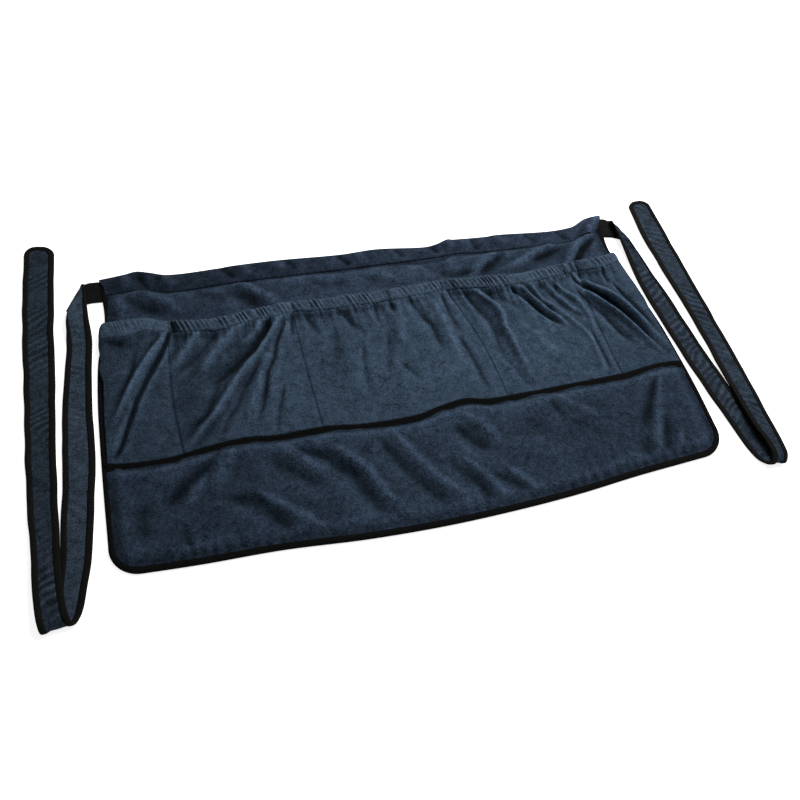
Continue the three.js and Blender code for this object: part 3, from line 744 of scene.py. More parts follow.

# %% [markdown]
# ### Folds and gathers
#
# The elastic bunches the cloth into fine ribs at the mouth. Below it they run together into fewer,
# longer folds that fan out towards the foot. The long ones were measured in the photograph, one row
# each. The ribs are a rounded wave along the mouth, with uneven pitch and height, that fades down
# the cloth. The pocket at the left end is hardly gathered. A second, short table holds broad places
# of painted shade and painted light, where the cloth is painted darker or paler than the folds make
# it.

# %% Folds and gathers
POCKET_FOLDS = [
    (6.5, 4.8, (-300, 128), (-321, 95), (-345, 59), (-357, 37), (-377, -3), (-390, -28)),
    (-11.0, 3.6, (-288, 150), (-312, 91), (-337, 46), (-350, 20), (-362, -13), (-372, -43),
     (-396, -92)),
    (-3.5, 8, (-346, 92), (-356, 57), (-374, 24)),
    (-2.6, 7, (-382, 118), (-370, 110), (-356, 106)),
    (6.0, 8, (-258, 112), (-272, 96), (-290, 77), (-312, 50)),
    (-4.6, 9, (-240, 100), (-270, 71), (-296, 50)),
    (6.5, 8, (-192, 118), (-226, 88), (-238, 79), (-260, 50), (-276, 26)),
    (5.5, 6, (-170, 116), (-190, 88), (-212, 74)),
    (-9.5, 9.5, (-158, 120), (-178, 86), (-190, 69), (-211, 55), (-232, 38), (-262, 14)),
    (-4.0, 9, (-246, 20), (-256, 0), (-266, -23), (-296, -40)),
    (7.5, 6, (-142, 124), (-158, 103), (-188, 63), (-220, 25), (-237, 0), (-255, -23), (-275, -43),
     (-320, -104)),
    (-5.5, 4.5, (-140, 114), (-158, 79), (-165, 55), (-177, 32), (-184, 5), (-192, -23),
     (-206, -54)),
    (-4.5, 6.5, (-186, 48), (-212, 10), (-225, -15), (-240, -35), (-252, -66)),
    (2.5, 6, (-186, 32), (-199, 0), (-216, -38)),
    (-3.2, 5, (-160, 4), (-172, -33), (-180, -72)),
    (-4.0, 4, (-128, 126), (-132, 104), (-134, 84)),
    (-4.2, 7, (-70, 124), (-54, 96), (-34, 62)),
    (-3.0, 5, (-112, 122), (-104, 98), (-94, 76)),
    (-2.5, 11, (-68, 104), (-78, 64), (-84, 16)),
    (-3.0, 6, (-42, 50), (-46, 20), (-50, -38)),
    (-3.5, 5, (-8, 124), (-11, 102), (-14, 76)),
    (-3.0, 4, (8, 122), (12, 106), (16, 92)),
    (3.5, 10, (24, 122), (20, 80), (4, 20)),
    (-5.2, 7, (38, 122), (51, 88), (63, 69), (68, 16)),
    (-2.5, 7, (-4, 58), (-10, 24), (-20, -10)),
    (-2.5, 5, (2, 12), (14, -4), (28, -24)),
    (4.0, 8, (76, 110), (84, 60), (88, -10)),
    (-4.5, 6, (98, 40), (104, 10), (115, -64)),
    (-4.0, 5, (92, 124), (94, 86), (102, 48)),
    (-6.0, 6.5, (122, 122), (136, 88), (147, 63), (150, 39), (149, 9), (150, -14)),
    (-3.0, 6, (150, -6), (158, -26), (165, -43), (178, -74)),
    (6.0, 6, (132, 130), (151, 98), (164, 80), (167, 64), (164, 44), (168, 22), (173, -24),
     (178, -60)),
    (-3.6, 7, (148, 118), (163, 101), (182, 87), (204, 66)),
    (-4.4, 2.8, (176, 128), (203, 93), (212, 82), (220, 66), (230, 51), (240, 41), (258, 24)),
    (5.0, 4, (198, 116), (213, 98), (222, 80), (235, 59), (250, 41), (262, 22)),
    (-2.2, 3.2, (216, 106), (227, 82), (241, 61), (252, 46)),
    (3.2, 4, (221, 112), (234, 80), (250, 61), (265, 42), (278, 22), (286, 2), (288, -20)),
    (-2.6, 4, (236, 112), (249, 88), (260, 70), (273, 54), (290, 42)),
    (3.0, 3.6, (246, 112), (259, 84), (272, 65), (290, 48)),
    (-2.6, 5, (260, 104), (275, 82), (290, 66)),
    (3.6, 3.6, (256, 118), (271, 94), (287, 80), (294, 64), (297, 44), (298, 14)),
    (-3.6, 5, (290, 22), (291, -2), (292, -16), (293, -66)),
    (2.6, 4.5, (285, 6), (285, -20), (284, -62)),
    (2.2, 9, (205, 24), (215, -5), (228, -24)),
    (-8.0, 4.4, (276, 150), (301, 109), (314, 94), (323, 82), (332, 66), (344, 45), (352, 31),
     (362, 9), (380, -32)),
    (6.5, 4.2, (292, 120), (303, 98), (310, 86), (321, 68), (331, 52), (339, 40), (347, 24),
     (356, 5), (382, -46)),
    (-6.0, 6.0, (296, 92), (309, 64), (320, 39), (330, 9), (348, -26)),
    (6.5, 5.0, (292, 130), (322, 92), (338, 74), (351, 56), (363, 36), (373, 12), (390, -30)),
    (-4.5, 4, (350, 92), (367, 56), (377, 30), (385, 2)),
    (-3.5, 3.5, (341, 124), (343, 104), (346, 88)),
    (2.0, 7, (300, 57), (315, 24), (324, 0)),
]
# Painted shade and light: a positive row paints a broad place darker, a negative one paler.
POCKET_PAINTED_SHADES = [
    (0.45, 13, (-166, 106), (-205, 64), (-236, 44), (-268, 14)),
    (0.22, 26, (-284, 22), (-282, -20), (-276, -80)),
    (-0.3, 12, (-192, 122), (-235, 80), (-268, 40)),
    (-0.28, 11, (-254, 116), (-280, 90), (-302, 60)),
    (0.2, 14, (-396, 122), (-372, 110), (-340, 104)),
    (-0.18, 20, (170, 60), (172, 0), (176, -60)),
    (-0.14, 26, (210, 50), (222, 0), (230, -40)),
    (-0.16, 12, (80, 60), (82, 10), (84, -40)),
    (-0.14, 14, (-34, 60), (-34, 10), (-32, -40)),
    (0.16, 16, (-78, 70), (-84, 20), (-90, -30)),
]
RIB_PITCH = 6.8
RIB_DRIFT = 3.6
RIB_MEAN, RIB_SPREAD = 0.52, 0.85
RIB_LIMITS = (0.1, 1.2)
RIB_RUN, RIB_SINK, RIB_FADE = 1.8, 0.3, 11
Gather = namedtuple("Gather", "height, pitch, drift, drift_size, seed, fade, start")
GATHERS = [Gather(1.2, 13, 2.4, 30, 33, 20, 6), Gather(1.3, 24, 2.6, 60, 34, 50, 12)]


def gather_share(x):
    """How strongly the elastic bunches the cloth along the mouth."""
    return lerp(0.25, 1.0, ease(x, -304, -290))


def ribs(x):
    phase = x / RIB_PITCH * 2 * math.pi + RIB_DRIFT * wander(x, 15, 31)
    height = RIB_MEAN + RIB_SPREAD * wander(x, 12, 32)
    return (0.5 - 0.5 * np.cos(phase)) * np.clip(height, *RIB_LIMITS) * gather_share(x)


def pleats(x, down):
    """Heights of the gathers at a distance down from the elastic."""
    down = np.maximum(down, 0)
    share = gather_share(x)
    height = ribs(x - RIB_SLANT * CASING_DEPTH) - RIB_SINK * share
    height = RIB_RUN * height * np.exp(-down / RIB_FADE)
    for gather in GATHERS:
        drift = gather.drift * wander(x, gather.drift_size, gather.seed)
        wave = np.sin(x / gather.pitch * 2 * math.pi + drift)
        fade = np.exp(-down / gather.fade) * (1 - np.exp(-down / gather.start))
        height = height + gather.height * wave * fade * share
    return height


print(len(POCKET_FOLDS), "measured folds, ribs", RIB_PITCH, "mm apart")

# %% [markdown]
# ### The patch's cloth
#
# The patch's lower face is a sum: the panel under it, the arch between two seams, the folds and
# some slack. It never dips into the panel. The mouth is drawn down where the cloth stands high,
# because the same length of cloth then runs up a slope. A shrinkwrap could keep the patch off the
# panel too, but it would also iron out the arches.

# %% The patch's cloth
PATCH_GRID = (560, 86)
PATCH_FLAT = (0.93, 0.23)
PATCH_LUMPS = [(0.9, 27, 5), (0.5, 13, 6)]
PATCH_SLACK = 3.5
SEAM_SINK = 0.35
SIDE_LIFT = 1.8
MOUTH_LIFT = 3.6
MOUTH_REACH = 15
MOUTH_DRAW = 0.85
FOOT_TUCK = 4.6
MOUTH_TUCK = 3.5
STITCH_GROOVE = 0.6
# Painted shade: the gathers' relief darkens them between ribs, and a dark line is painted along each
# seam.
GATHER_SHADE = 0.48
SEAM_SHADE = 1.4
SEAM_HALF = 1.6
# Painted shade: the patch is painted darker towards both ends, where less light falls, and paler in
# the middle.
patch_painted_shade = curve([
    (-396, 0.2), (-300, 0.17), (-230, 0.06), (-120, -0.04), (0, -0.06), (200, -0.04), (290, 0.02),
    (330, 0.1), (396, 0.12),
])


def side_lift(edge, up):
    clear = SIDE_LIFT * ease(up, edge.sewn_to, edge.free_from)
    return clear + (MOUTH_LIFT - SIDE_LIFT) * ease(up, edge.free_from, 1.0)


def patch_under(number, local, up, x, y):
    """Height of the patch's lower face: arched between its seams, never below the panel."""
    dome = np.sin(math.pi * local)
    arch = dome ** lerp(1.2, 0.6, up**2)
    swell = POCKET_LIFT[number] * arch * up**1.8
    folds = fold_height(POCKET_FOLDS, x, y) * ease(up, 0, 0.15) * dome**0.3
    loose = PATCH_SLACK * dome**0.7 * ease(up, 0, 0.25) * (1 - 0.6 * up)
    stand = above_zero(swell + folds + loose, 0.6) - SEAM_SINK * (1 - arch)
    held = np.where(number == 0, side_lift(LEFT_EDGE, up) * (1 - local) ** 2, 0)
    held = held + np.where(number == len(POCKET_LIFT) - 1, side_lift(RIGHT_EDGE, up) * local**2, 0)
    return panel_top(x, y) + GAP + np.maximum(stand, 0) + held


def mouth_spot(number, local):
    full = np.ones_like(local)
    x = patch_x(number, local, full)
    flat = mouth_line(x)
    height = patch_under(number, local, full, x, flat - MOUTH_REACH)
    return x, flat - MOUTH_DRAW * (height - CLOTH - GAP), height


def patch_spot(across, up):
    number, local = patch_pocket(across)
    x = patch_x(number, local, up)
    mouth_x, mouth_y, under = mouth_spot(number, local)
    deep = casing_depth(mouth_x)
    y = lerp(tape_line(x) + FOOT_TUCK, mouth_y - deep + MOUTH_TUCK, up)
    down = mouth_y - deep - y
    arch = np.sin(math.pi * local) ** 0.6
    gathers = pleats(mouth_x, down) * ease(up, 0, 0.3)
    slack = slack_height(x, y, PATCH_LUMPS) * arch
    z = patch_under(number, local, up, x, y) + CLOTH
    z = lerp(z, under + CLOTH + GAP, 1 - ease(down, 0, 10))
    z = z + gathers * lerp(0.5, 1.0, arch) + slack * ease(up, 0, 0.15)
    z = z - STITCH_GROOVE * (1 - ease(down, -1, 3))
    # A relief used only for painted shade: folds at full depth even where the cloth can't sink that
    # far, gathers, slack and a dip at each seam.
    relief = fold_height(POCKET_FOLDS, x, y) * ease(up, 0, 0.1) + GATHER_SHADE * gathers + slack
    relief = relief - SEAM_SHADE * bell(seam_distance(number, local, up), 0, SEAM_HALF)
    return x, y, z, relief, patch_painted_shade(x) + fold_height(POCKET_PAINTED_SHADES, x, y)


pocket_patch = cloth_piece(
    "pocket_patch", PATCH_GRID, patch_spot, PATCH_FLAT, CLOTH, reach=(5, 8), full=3.1
)

# %% [markdown]
# ## Elastic casing
#
# At the mouth the patch is turned down over an elastic and sewn below it. The cloth between the
# stitches and the rolled top is bunched in ribs about 7 mm apart, and a few deeper creases cross it
# near the seams. A displaced tube would have to find the patch again, so the casing is a flattened
# roll, carried along the patch's own upper line, with the same ribs as the patch below it: they run
# on from one to the other.

# %% Elastic casing
CASING_GRID = (1150, 24)
CASING_FLAT = (0.93, 0.046)
CASING_WALL = 0.8
CASING_FRONT = 0.58
CASING_ROLL = 0.22
END_ROUND = 10
END_SHARE = 0.3
TOP_SINK, TOP_RIB = 0.6, 0.9
ROLL_HALF, ROLL_RIB = 1.5, 0.5
RIDGE_LOW, RIDGE_RIB = 0.6, 1.4
SEWN_CROWN = 2.3
CASING_CLEAR = 0.4
DROOP = 1.2
# Painted shade: how much darker the crease dents near the seams are painted.
PAINTED_CASING_CREASE = -0.5
CASING_FOLDS = [
    (-1.9, 4.5, (294, 176), (300, 140), (306, 92)),
    (-1.5, 3.0, (278, 176), (282, 140), (286, 92)),
    (-1.5, 4.0, (-300, 176), (-294, 140), (-288, 92)),
    (-1.3, 3.0, (6, 176), (9, 140), (12, 92)),
    (-1.3, 3.0, (92, 176), (95, 140), (98, 92)),
    (-1.3, 3.0, (108, 176), (111, 140), (114, 92)),
]


def casing_spot(across, around):
    number, local = patch_pocket(across)
    x, y, under = mouth_spot(number, local)
    arch = np.sin(math.pi * local) ** 0.6
    front = np.clip(around / CASING_FRONT, 0, 1)
    roll = np.clip((around - CASING_FRONT) / CASING_ROLL, 0, 1) * math.pi
    back = np.clip((around - CASING_FRONT - CASING_ROLL) / (1 - CASING_ROLL - CASING_FRONT), 0, 1)
    on_front = around <= CASING_FRONT
    deep = casing_depth(x)
    rib = ribs(x - RIB_SLANT * CASING_DEPTH * (1 - front))
    from_end = np.where(number == 0, x - x.min(), END_ROUND)
    from_end = np.where(number == len(POCKET_LIFT) - 1, x.max() - x, from_end)
    end_round = np.sqrt(1 - (1 - np.clip(from_end / END_ROUND, 0, 1)) ** 2)
    tall = (deep - TOP_SINK + TOP_RIB * rib) * lerp(END_SHARE, 1, end_round)
    half = (ROLL_HALF + ROLL_RIB * rib) * lerp(0.5, 1, end_round)
    bulge = np.sin(math.pi * (front * 0.9)) ** 0.7
    ridge = (RIDGE_LOW + RIDGE_RIB * rib) * bulge
    crown = lerp(SEWN_CROWN, 2 * half + CASING_CLEAR, ease(front, 0, 0.8)) + ridge * end_round
    leg = tall - half
    climb = np.where(on_front, front * leg, leg + half * np.sin(roll) - back * leg)
    turned = np.maximum(half + CASING_CLEAR + half * np.cos(roll), CASING_CLEAR)
    rise = np.where(on_front, crown, turned)
    droop = DROOP * wander(x, 10, 35) * (1 - ease(front, 0, 0.4))
    y = y - deep + climb + droop
    dents = fold_height(CASING_FOLDS, x, y) * on_front
    z = under + (rise + dents * bulge) * lerp(0.9, 1.0, arch)
    # Painted shade and light: rib crests paler, hollows between ribs and crease dents darker.
    return x, y, z, ridge, PAINTED_CASING_CREASE * dents


pocket_elastic = cloth_piece(
    "pocket_elastic", CASING_GRID, casing_spot, CASING_FLAT, CASING_WALL, reach=(1, 5), full=1.6
)

# %% [markdown]
# ## Tape along the foot
#
# A black tape covers the patch's raw lower edge and runs from one side binding to the other. It
# lies higher along its upper edge, where the patch is under it. It could be a curve with a bevel,
# but it has to follow the panel's folds, so it is a narrow domed strip with two sewn edges that
# asks the panel for its height.

# %% Tape along the foot
TAPE_GRID = (560, 16)
TAPE_WIDTH = 10
TAPE_FLAT_WIDTH = 0.012
TAPE_WALL = 0.8
TAPE_DOME = 0.9
ON_PANEL, ON_PATCH = 0.5, 2.2
tape_start = left_side(-72.0) + 4.0
tape_end = right_side(-66.0) - 3.0


def tape_spot(along, up):
    x = lerp(tape_start, tape_end, along)
    side = 2 * up - 1
    y = tape_line(x) + side * (TAPE_WIDTH / 2 + 0.3 * wander(x, 18, 41))
    edge = 1 - np.abs(side) ** 6
    base = lerp(ON_PANEL, ON_PATCH, ease(up, 0.25, 0.85))
    stitch = 0.25 * bell(np.abs(side), 0.72, 0.12)
    pucker = 0.06 * np.sin(x / 0.65) * np.abs(side)
    return x, y, panel_top(x, y) + base + TAPE_DOME * edge - stitch + pucker * edge


tape_flat = ((tape_end - tape_start) * MM, TAPE_FLAT_WIDTH)
pocket_tape = cloth_piece("pocket_tape", TAPE_GRID, tape_spot, tape_flat, TAPE_WALL)

# %% [markdown]
# ## Ties
#
# Each tie is a long strap of the same cloth with a bound edge. It leaves the waist, folds over
# itself, runs down beside the apron to a tip, turns over and runs back to a round free end. A strip
# bent along one middle line could not fold over slantwise. So each row below holds a point on both
# edges, with its lift off the table, and the widths of the binding's two legs there. At the waist
# the legs are drawn wide enough to meet and cover the cloth: black that paints the root's shade.

# %% Ties: measured edges
TIE_CLOTH = 1.4
TIE_RIM = 1.1
TIE_REST = TIE_CLOTH / 2 + TIE_RIM
LEFT_END_RADIUS = 17
RIGHT_END_RADIUS = 14.5
TIE_STEP = 1.5
END_STEPS = 16
EDGE_WAVE = 0.7

# The first rows draw the binding's legs wide, so black covers the strap's root: painted shade where
# the root lies in shadow.
LEFT_TIE = [
    ((-385.0, 235.5, 0), (-381.5, 199.0, 0), (19, 19)),
    ((-400, 237, 0), (-407, 198.8, 0), (19.5, 19.5)),
    ((-406.5, 236.2, 0), (-428, 188.8, 0), (20, 18)),
    ((-410.2, 233.2, 4.3), (-433.4, 186.2, 4.3), (3.5, 0.6)),
    ((-407.3, 228, 8.6), (-431.8, 182.5, 8.6), (5, 0.6)),
    ((-405.6, 205, 8.4), (-434.3, 167, 7.8), (7.2, 4.5)),
    ((-404.2, 168, 4.4), (-434.6, 146, 3.8), (7.2, 6)),
    ((-402.9, 132, 0.4), (-436, 127, 0), (7.2, 6.6)),
    ((-405, 80, 0), (-440, 79, 0), (7, 6.6)),
    ((-407.3, 3, 0), (-445.5, 3, 0), (7, 6.6)),
    ((-407.8, -70, 0), (-446.5, -70, 0), (7, 6.6)),
    ((-412.8, -135, 0), (-450.3, -137, 0), (7, 6.6)),
    ((-420, -205, 0), (-455, -208, 0), (7, 6.6)),
    ((-432.5, -256, 0), (-468, -262, 0), (7, 6.6)),
    ((-438.8, -266.2, 4.6), (-474, -270.3, 4.6), (7, 6.6)),
    ((-442.6, -260, 9.2), (-476.4, -262, 9.2), (7, 6.6)),
    ((-447.2, -232, 9.4), (-480.6, -230, 8.2), (7, 6.6)),
    ((-449.8, -196, 7.4), (-482.8, -195, 6.0), (7, 6.6)),
    ((-451.2, -150, 4.6), (-485.8, -150, 3.0), (7, 6.6)),
    ((-453, -105, 2), (-488.2, -102, 0.6), (7, 6.6)),
    ((-453.5, -45, 0), (-490.3, -45, 0), (7, 6.6)),
    ((-452.5, 70, 0), (-491.8, 70, 0), (7, 6.6)),
    ((-451.8, 166, 0), (-492.8, 166, 0), (7, 6.6)),
    ((-449.5, 255, 0), (-491.8, 255, 0), (7, 6.6)),
    ((-447.8, 317.5, 0), (-489.8, 325, 0), (7, 6.6)),
]
# The first rows draw the binding's legs wide, so black covers the strap's root: painted shade where
# the root lies in shadow.
RIGHT_TIE = [
    ((383.0, 233.5, 0), (376.0, 195.5, 0), (21, 21)),
    ((392, 232.6, 0), (393, 192, 0), (22, 22)),
    ((398, 228.4, 0), (409.5, 183, 0), (22, 22)),
    ((401, 224.4, 4.3), (414.3, 180.5, 4.3), (3, 0.6)),
    ((398.8, 219, 8.6), (412.4, 177, 8.6), (4.5, 0.6)),
    ((398.8, 198, 8.4), (415.5, 160, 7.8), (6.6, 0.8)),
    ((398.6, 158, 4), (420.5, 146, 3.2), (6.6, 2)),
    ((397.2, 118, 0.5), (426, 110, 0), (6.6, 4)),
    ((398, 65, 0), (431.8, 62, 0), (6.6, 5.4)),
    ((402.5, 3, 0), (437.6, 0, 0), (6.4, 5.6)),
    ((408.3, -64, 0), (443.8, -66, 0), (6.4, 5.6)),
    ((414.4, -112, 0), (449.5, -112, 0), (6.4, 5.6)),
    ((421, -163, 0), (453.5, -170, 0), (6.4, 5.6)),
    ((428.5, -212, 0), (461, -222, 0), (6.4, 5.6)),
    ((434.6, -230.5, 1.2), (464, -236, 1.2), (6.4, 5.6)),
    ((443.8, -239.6, 5.0), (467, -242, 4.8), (6.4, 5)),
    ((450, -231, 8.8), (472.3, -233.5, 8.4), (6.4, 5)),
    ((451.2, -212, 9.6), (475.2, -214, 8), (6.4, 5)),
    ((447.6, -180, 8.6), (477, -182, 6.4), (6.4, 5)),
    ((447.4, -142, 6), (479.4, -142, 4.2), (6.4, 5)),
    ((448.8, -100, 3), (482.6, -96, 1.4), (6.4, 5)),
    ((449.6, -60, 0.8), (483, -58, 0.2), (6.4, 5)),
    ((450, -18, 0), (483.4, -16, 0), (6.4, 5)),
    ((447.5, 60, 0), (483, 60, 0), (6.4, 5)),
    ((444, 125, 0), (482.2, 125, 0), (6.4, 5)),
    ((442.2, 185, 0), (482.6, 185, 0), (6.4, 5)),
    ((445, 232, 0), (482, 232, 0), (6.2, 5.4)),
    ((447, 262.3, 0), (482, 262.7, 0), (6, 5.4)),
]
print("ties measured at", len(LEFT_TIE), "and", len(RIGHT_TIE), "places")

# %% [markdown]
# ### Smooth edges
#
# The measured points are far apart where the strap is straight and close together at a fold. A
# plain spline would overshoot there. Knots spaced by the root of the distance keep the curve tight,
# and the strap is ruled between the two curves. Its free end is rounded by drawing both edges in
# along a quarter circle.


# %% Ties: smooth edges
def through(points):
    """A smooth path through points, with knots spaced by the root of their distance."""
    ends = np.vstack([2 * points[0] - points[1], points, 2 * points[-1] - points[-2]])

    def at(place):
        i = np.clip(np.floor(place).astype(int), 0, len(points) - 2)
        w = (place - i)[:, None]
        p0, p1, p2, p3 = (ends[i + k] for k in range(4))
        spans = (p1 - p0, p2 - p1, p3 - p2)
        d0, d1, d2 = (np.sqrt(np.linalg.norm(span, axis=1))[:, None] for span in spans)
        t1 = ((p1 - p0) / d0 - (p2 - p0) / (d0 + d1) + (p2 - p1) / d1) * d1
        t2 = ((p2 - p1) / d1 - (p3 - p1) / (d1 + d2) + (p3 - p2) / d2) * d1
        cubic = 2 * (p1 - p2) + t1 + t2
        square = 3 * (p2 - p1) - 2 * t1 - t2
        return ((cubic * w + square) * w + t1) * w + p1

    return at


def tie_lines(rows, end_radius, seed):
    """Both edges of a strap's cloth, its face's way and its binding's legs, at close steps."""
    inner = np.array([row[0] for row in rows], dtype=float) + (0, 0, TIE_REST)
    outer = np.array([row[1] for row in rows], dtype=float) + (0, 0, TIE_REST)
    last = len(rows) - 1
    places = []
    for k in range(last):
        run = np.linalg.norm(inner[k + 1] - inner[k]) + np.linalg.norm(outer[k + 1] - outer[k])
        count = max(9, int(run / 2 / TIE_STEP))
        places += [k + step / count for step in range(count)]
    end_run = np.linalg.norm(inner[last] - inner[last - 1])
    places = [place for place in places if place < last - (end_radius + 1) / end_run]
    swing = np.linspace(0, math.pi / 2, END_STEPS)
    to_end = end_radius * (1 - np.sin(swing))
    places = np.concatenate([places, last - to_end / end_run])
    a, b = through(inner)(places), through(outer)(places)
    ruling = unit(a - b)
    ahead = unit(np.gradient((a + b) / 2, axis=0))
    up = unit(np.cross(ruling, ahead))
    rounded, back = np.zeros((2, len(places)))
    rounded[-END_STEPS:] = end_radius * (1 - np.cos(swing))
    back[-END_STEPS:] = TIE_RIM * np.sin(swing)
    along = strap_steps(a, b)
    a[:, 2], b[:, 2] = np.maximum(a[:, 2], TIE_REST), np.maximum(b[:, 2], TIE_REST)
    inset = TIE_RIM + rounded
    wave = EDGE_WAVE * (1 - rounded / end_radius)
    a = a - ruling * (inset + wave * wander(along, 30, seed))[:, None] - ahead * back[:, None]
    b = b + ruling * (inset + wave * wander(along, 27, seed + 1))[:, None] - ahead * back[:, None]
    marks = np.arange(len(rows))
    legs = [np.interp(places, marks, [row[2][edge] for row in rows]) for edge in (0, 1)]
    return a, b, up, legs


def strap_steps(a, b):
    """Distance along the middle of a strap at each of its steps."""
    middle = (a + b) / 2
    return np.concatenate([[0], np.cumsum(np.linalg.norm(np.diff(middle, axis=0), axis=1))])


left_lines = tie_lines(LEFT_TIE, LEFT_END_RADIUS, 61)
right_lines = tie_lines(RIGHT_TIE, RIGHT_END_RADIUS, 63)
left_length = strap_steps(*left_lines[:2])[-1] * MM
right_length = strap_steps(*right_lines[:2])[-1] * MM
print("tie lengths", round(left_length, 3), round(right_length, 3), "m")

# %% [markdown]
# ### Cloth and binding of the ties
#
# The cloth between the bound edges has slanting wrinkles, because the binding is sewn on a little
# tight. They are a wave across the strap, strong in some places and gone in others. The binding is
# the panel's folded section again, carried down one edge, round the end and up the other.

# %% Ties: cloth and binding
TIE_ROWS = 14
TIE_LEG = 7.0
TIE_FLAT_WIDTH = 0.036
TIE_TAPE_WIDTH = 0.02
TIE_TAPE_WALL = 0.6
TURN_PLACE = (0.45, 0.5)
WRINKLE_PITCH = 11.5
WRINKLE_SLANT = 22
WRINKLE = 0.75


def tie_cloth(name, lines, length, seed, down_leg_offset, back_leg_offset):
    a, b, up, _ = lines
    last = len(a) - 1
    steps = strap_steps(a, b)

    def place(along, side):
        i = np.rint(along * last).astype(int)
        s = steps[i]
        phase = (s + WRINKLE_SLANT * side) / WRINKLE_PITCH * 2 * math.pi
        phase = phase + 3 * lumps(s, side * 38, 26, seed + 10)
        patchy = np.clip(0.35 + 0.9 * lumps(s, side * 12, 34, seed + 20), 0, 1)
        wrinkle = WRINKLE * patchy * (0.5 + 0.5 * np.cos(phase)) ** 2
        wave = wrinkle + 0.5 * lumps(s, side * 38, 20, seed)
        spot = lerp(a[i], b[i], side[:, None]) + up[i] * (wave * np.sin(math.pi * side))[:, None]
        # Painted shade in the wrinkles' troughs from their relief; an offset paints the leg down
        # from the waist and the leg back up paler or darker.
        painted_shade_offset = lerp(down_leg_offset, back_leg_offset, ease(s / steps[-1], *TURN_PLACE))
        return spot[:, 0], spot[:, 1], spot[:, 2], wave, painted_shade_offset

    grid, flat = (last, TIE_ROWS), (length, TIE_FLAT_WIDTH)
    return cloth_piece(name, grid, place, flat, TIE_CLOTH, offset=0.0, reach=(3, 5), full=0.8)


def tie_binding(name, lines, length):
    """A folded tape down one edge of the strap, round its end and up the other edge."""
    a, b, up, (a_leg, b_leg) = lines
    share = np.linspace(0, 1, 10)[1:-1, None]
    spine = np.vstack([a, lerp(a[-1], b[-1], share), b[::-1]])
    rise = np.vstack([up, np.tile(up[-1], (len(share), 1)), up[::-1]])
    out = unit(np.cross(np.gradient(spine, axis=0), rise))
    straight = len(a) - END_STEPS
    out[:straight] = unit(a - b)[:straight]
    out[-straight:] = unit(b - a)[:straight][::-1]
    leg = np.concatenate([a_leg, np.full(len(share), a_leg[-1]), b_leg[::-1]])
    section = folded_section(TIE_LEG, TIE_REST, 0.2)[::-1]
    place = carry(spine, out, rise, section, leg / TIE_LEG)
    grid, flat = (len(spine) - 1, len(section) - 1), (2 * length, TIE_TAPE_WIDTH)
    return cloth_piece(name, grid, place, flat, TIE_TAPE_WALL)


# The left tie's leg down from the waist is painted paler, its leg back up a little darker.
left_tie = tie_cloth("left_tie", left_lines, left_length, 51, -0.4, 0.08)
right_tie = tie_cloth("right_tie", right_lines, right_length, 52, 0.05, 0.0)
left_tie_binding = tie_binding("left_tie_binding", left_lines, left_length)
right_tie_binding = tie_binding("right_tie_binding", right_lines, right_length)

# %% [markdown]
# ## Stitching
#
# Thread could be painted on, but seen close a stitch is a short raised piece of thread between two
# holes. Here each line of stitching is one thin tube that dips in and out of the cloth, as the real
# thread does. Its path comes from the function that shaped the sewn piece, so it lies on the cloth
# everywhere.

# %% Stitching
STITCH_PITCH = 3.4
STITCH_STEPS = 6
STITCH_RISE = 0.12
STITCH_DIP = 0.42
THREAD_RADIUS = 0.27
THREAD_SIDES = 5
THREAD_MERGE = 2e-6
WAIST_STITCHES_AT = 0.03
MOUTH_STITCHES_AT = 0.06
TAPE_STITCHES_AT = (0.13, 0.87)


def thread(name, lines):
    """One piece of sewing thread along each line of points on the cloth."""
    bm = bmesh.new()
    for line in lines:
        steps = np.concatenate([[0], np.cumsum(np.linalg.norm(np.diff(line, axis=0), axis=1))])
        count = int(steps[-1] / STITCH_PITCH) * STITCH_STEPS
        along = np.linspace(0, steps[-1], count + 1)
        spine = np.stack([np.interp(along, steps, line[:, k]) for k in range(3)], axis=1)
        spine[:, 2] += STITCH_RISE + STITCH_DIP * np.sin(along / STITCH_PITCH * 2 * math.pi)
        ahead = unit(np.gradient(spine, axis=0))
        side = unit(np.cross(ahead, [0, 0, 1]))
        top = np.cross(side, ahead)
        tube = bmesh.ops.create_grid(bm, x_segments=count, y_segments=THREAD_SIDES, size=0.5)
        for vert in tube["verts"]:
            i = round((vert.co.x + 0.5) * count)
            angle = -(vert.co.y + 0.5) * 2 * math.pi
            spot = spine[i] + THREAD_RADIUS * (math.cos(angle) * side[i] + math.sin(angle) * top[i])
            vert.co = Vector(spot * MM)
    bmesh.ops.remove_doubles(bm, verts=bm.verts, dist=THREAD_MERGE)
    return new_piece(name, bm)


def sewn_line(spot, margin, count, around):
    """Points along a piece, at one share of its section."""
    along = np.linspace(margin, 1 - margin, count)
    return np.stack(spot(along, np.full_like(along, around))[:3], axis=1)


seam_up = np.linspace(0.03, 0.985, 160)
seam_lines = []
for stop in PATCH_STOPS[1:-1]:
    seam_across = np.full_like(seam_up, stop + 1e-6)
    seam_lines.append(np.stack(patch_spot(seam_across, seam_up)[:3], axis=1))
seam_stitches = thread("seam_stitches", seam_lines)
waist_line = sewn_line(band_spot, 0.004, 500, WAIST_STITCHES_AT)
waist_stitches = thread("waist_stitches", [waist_line])
casing_line = sewn_line(casing_spot, 0.003, 1100, MOUTH_STITCHES_AT) - (0, 0, 0.1)
mouth_stitches = thread("mouth_stitches", [casing_line])
tape_lines = [sewn_line(tape_spot, 0.003, 700, up) for up in TAPE_STITCHES_AT]
tape_stitches = thread("tape_stitches", tape_lines)

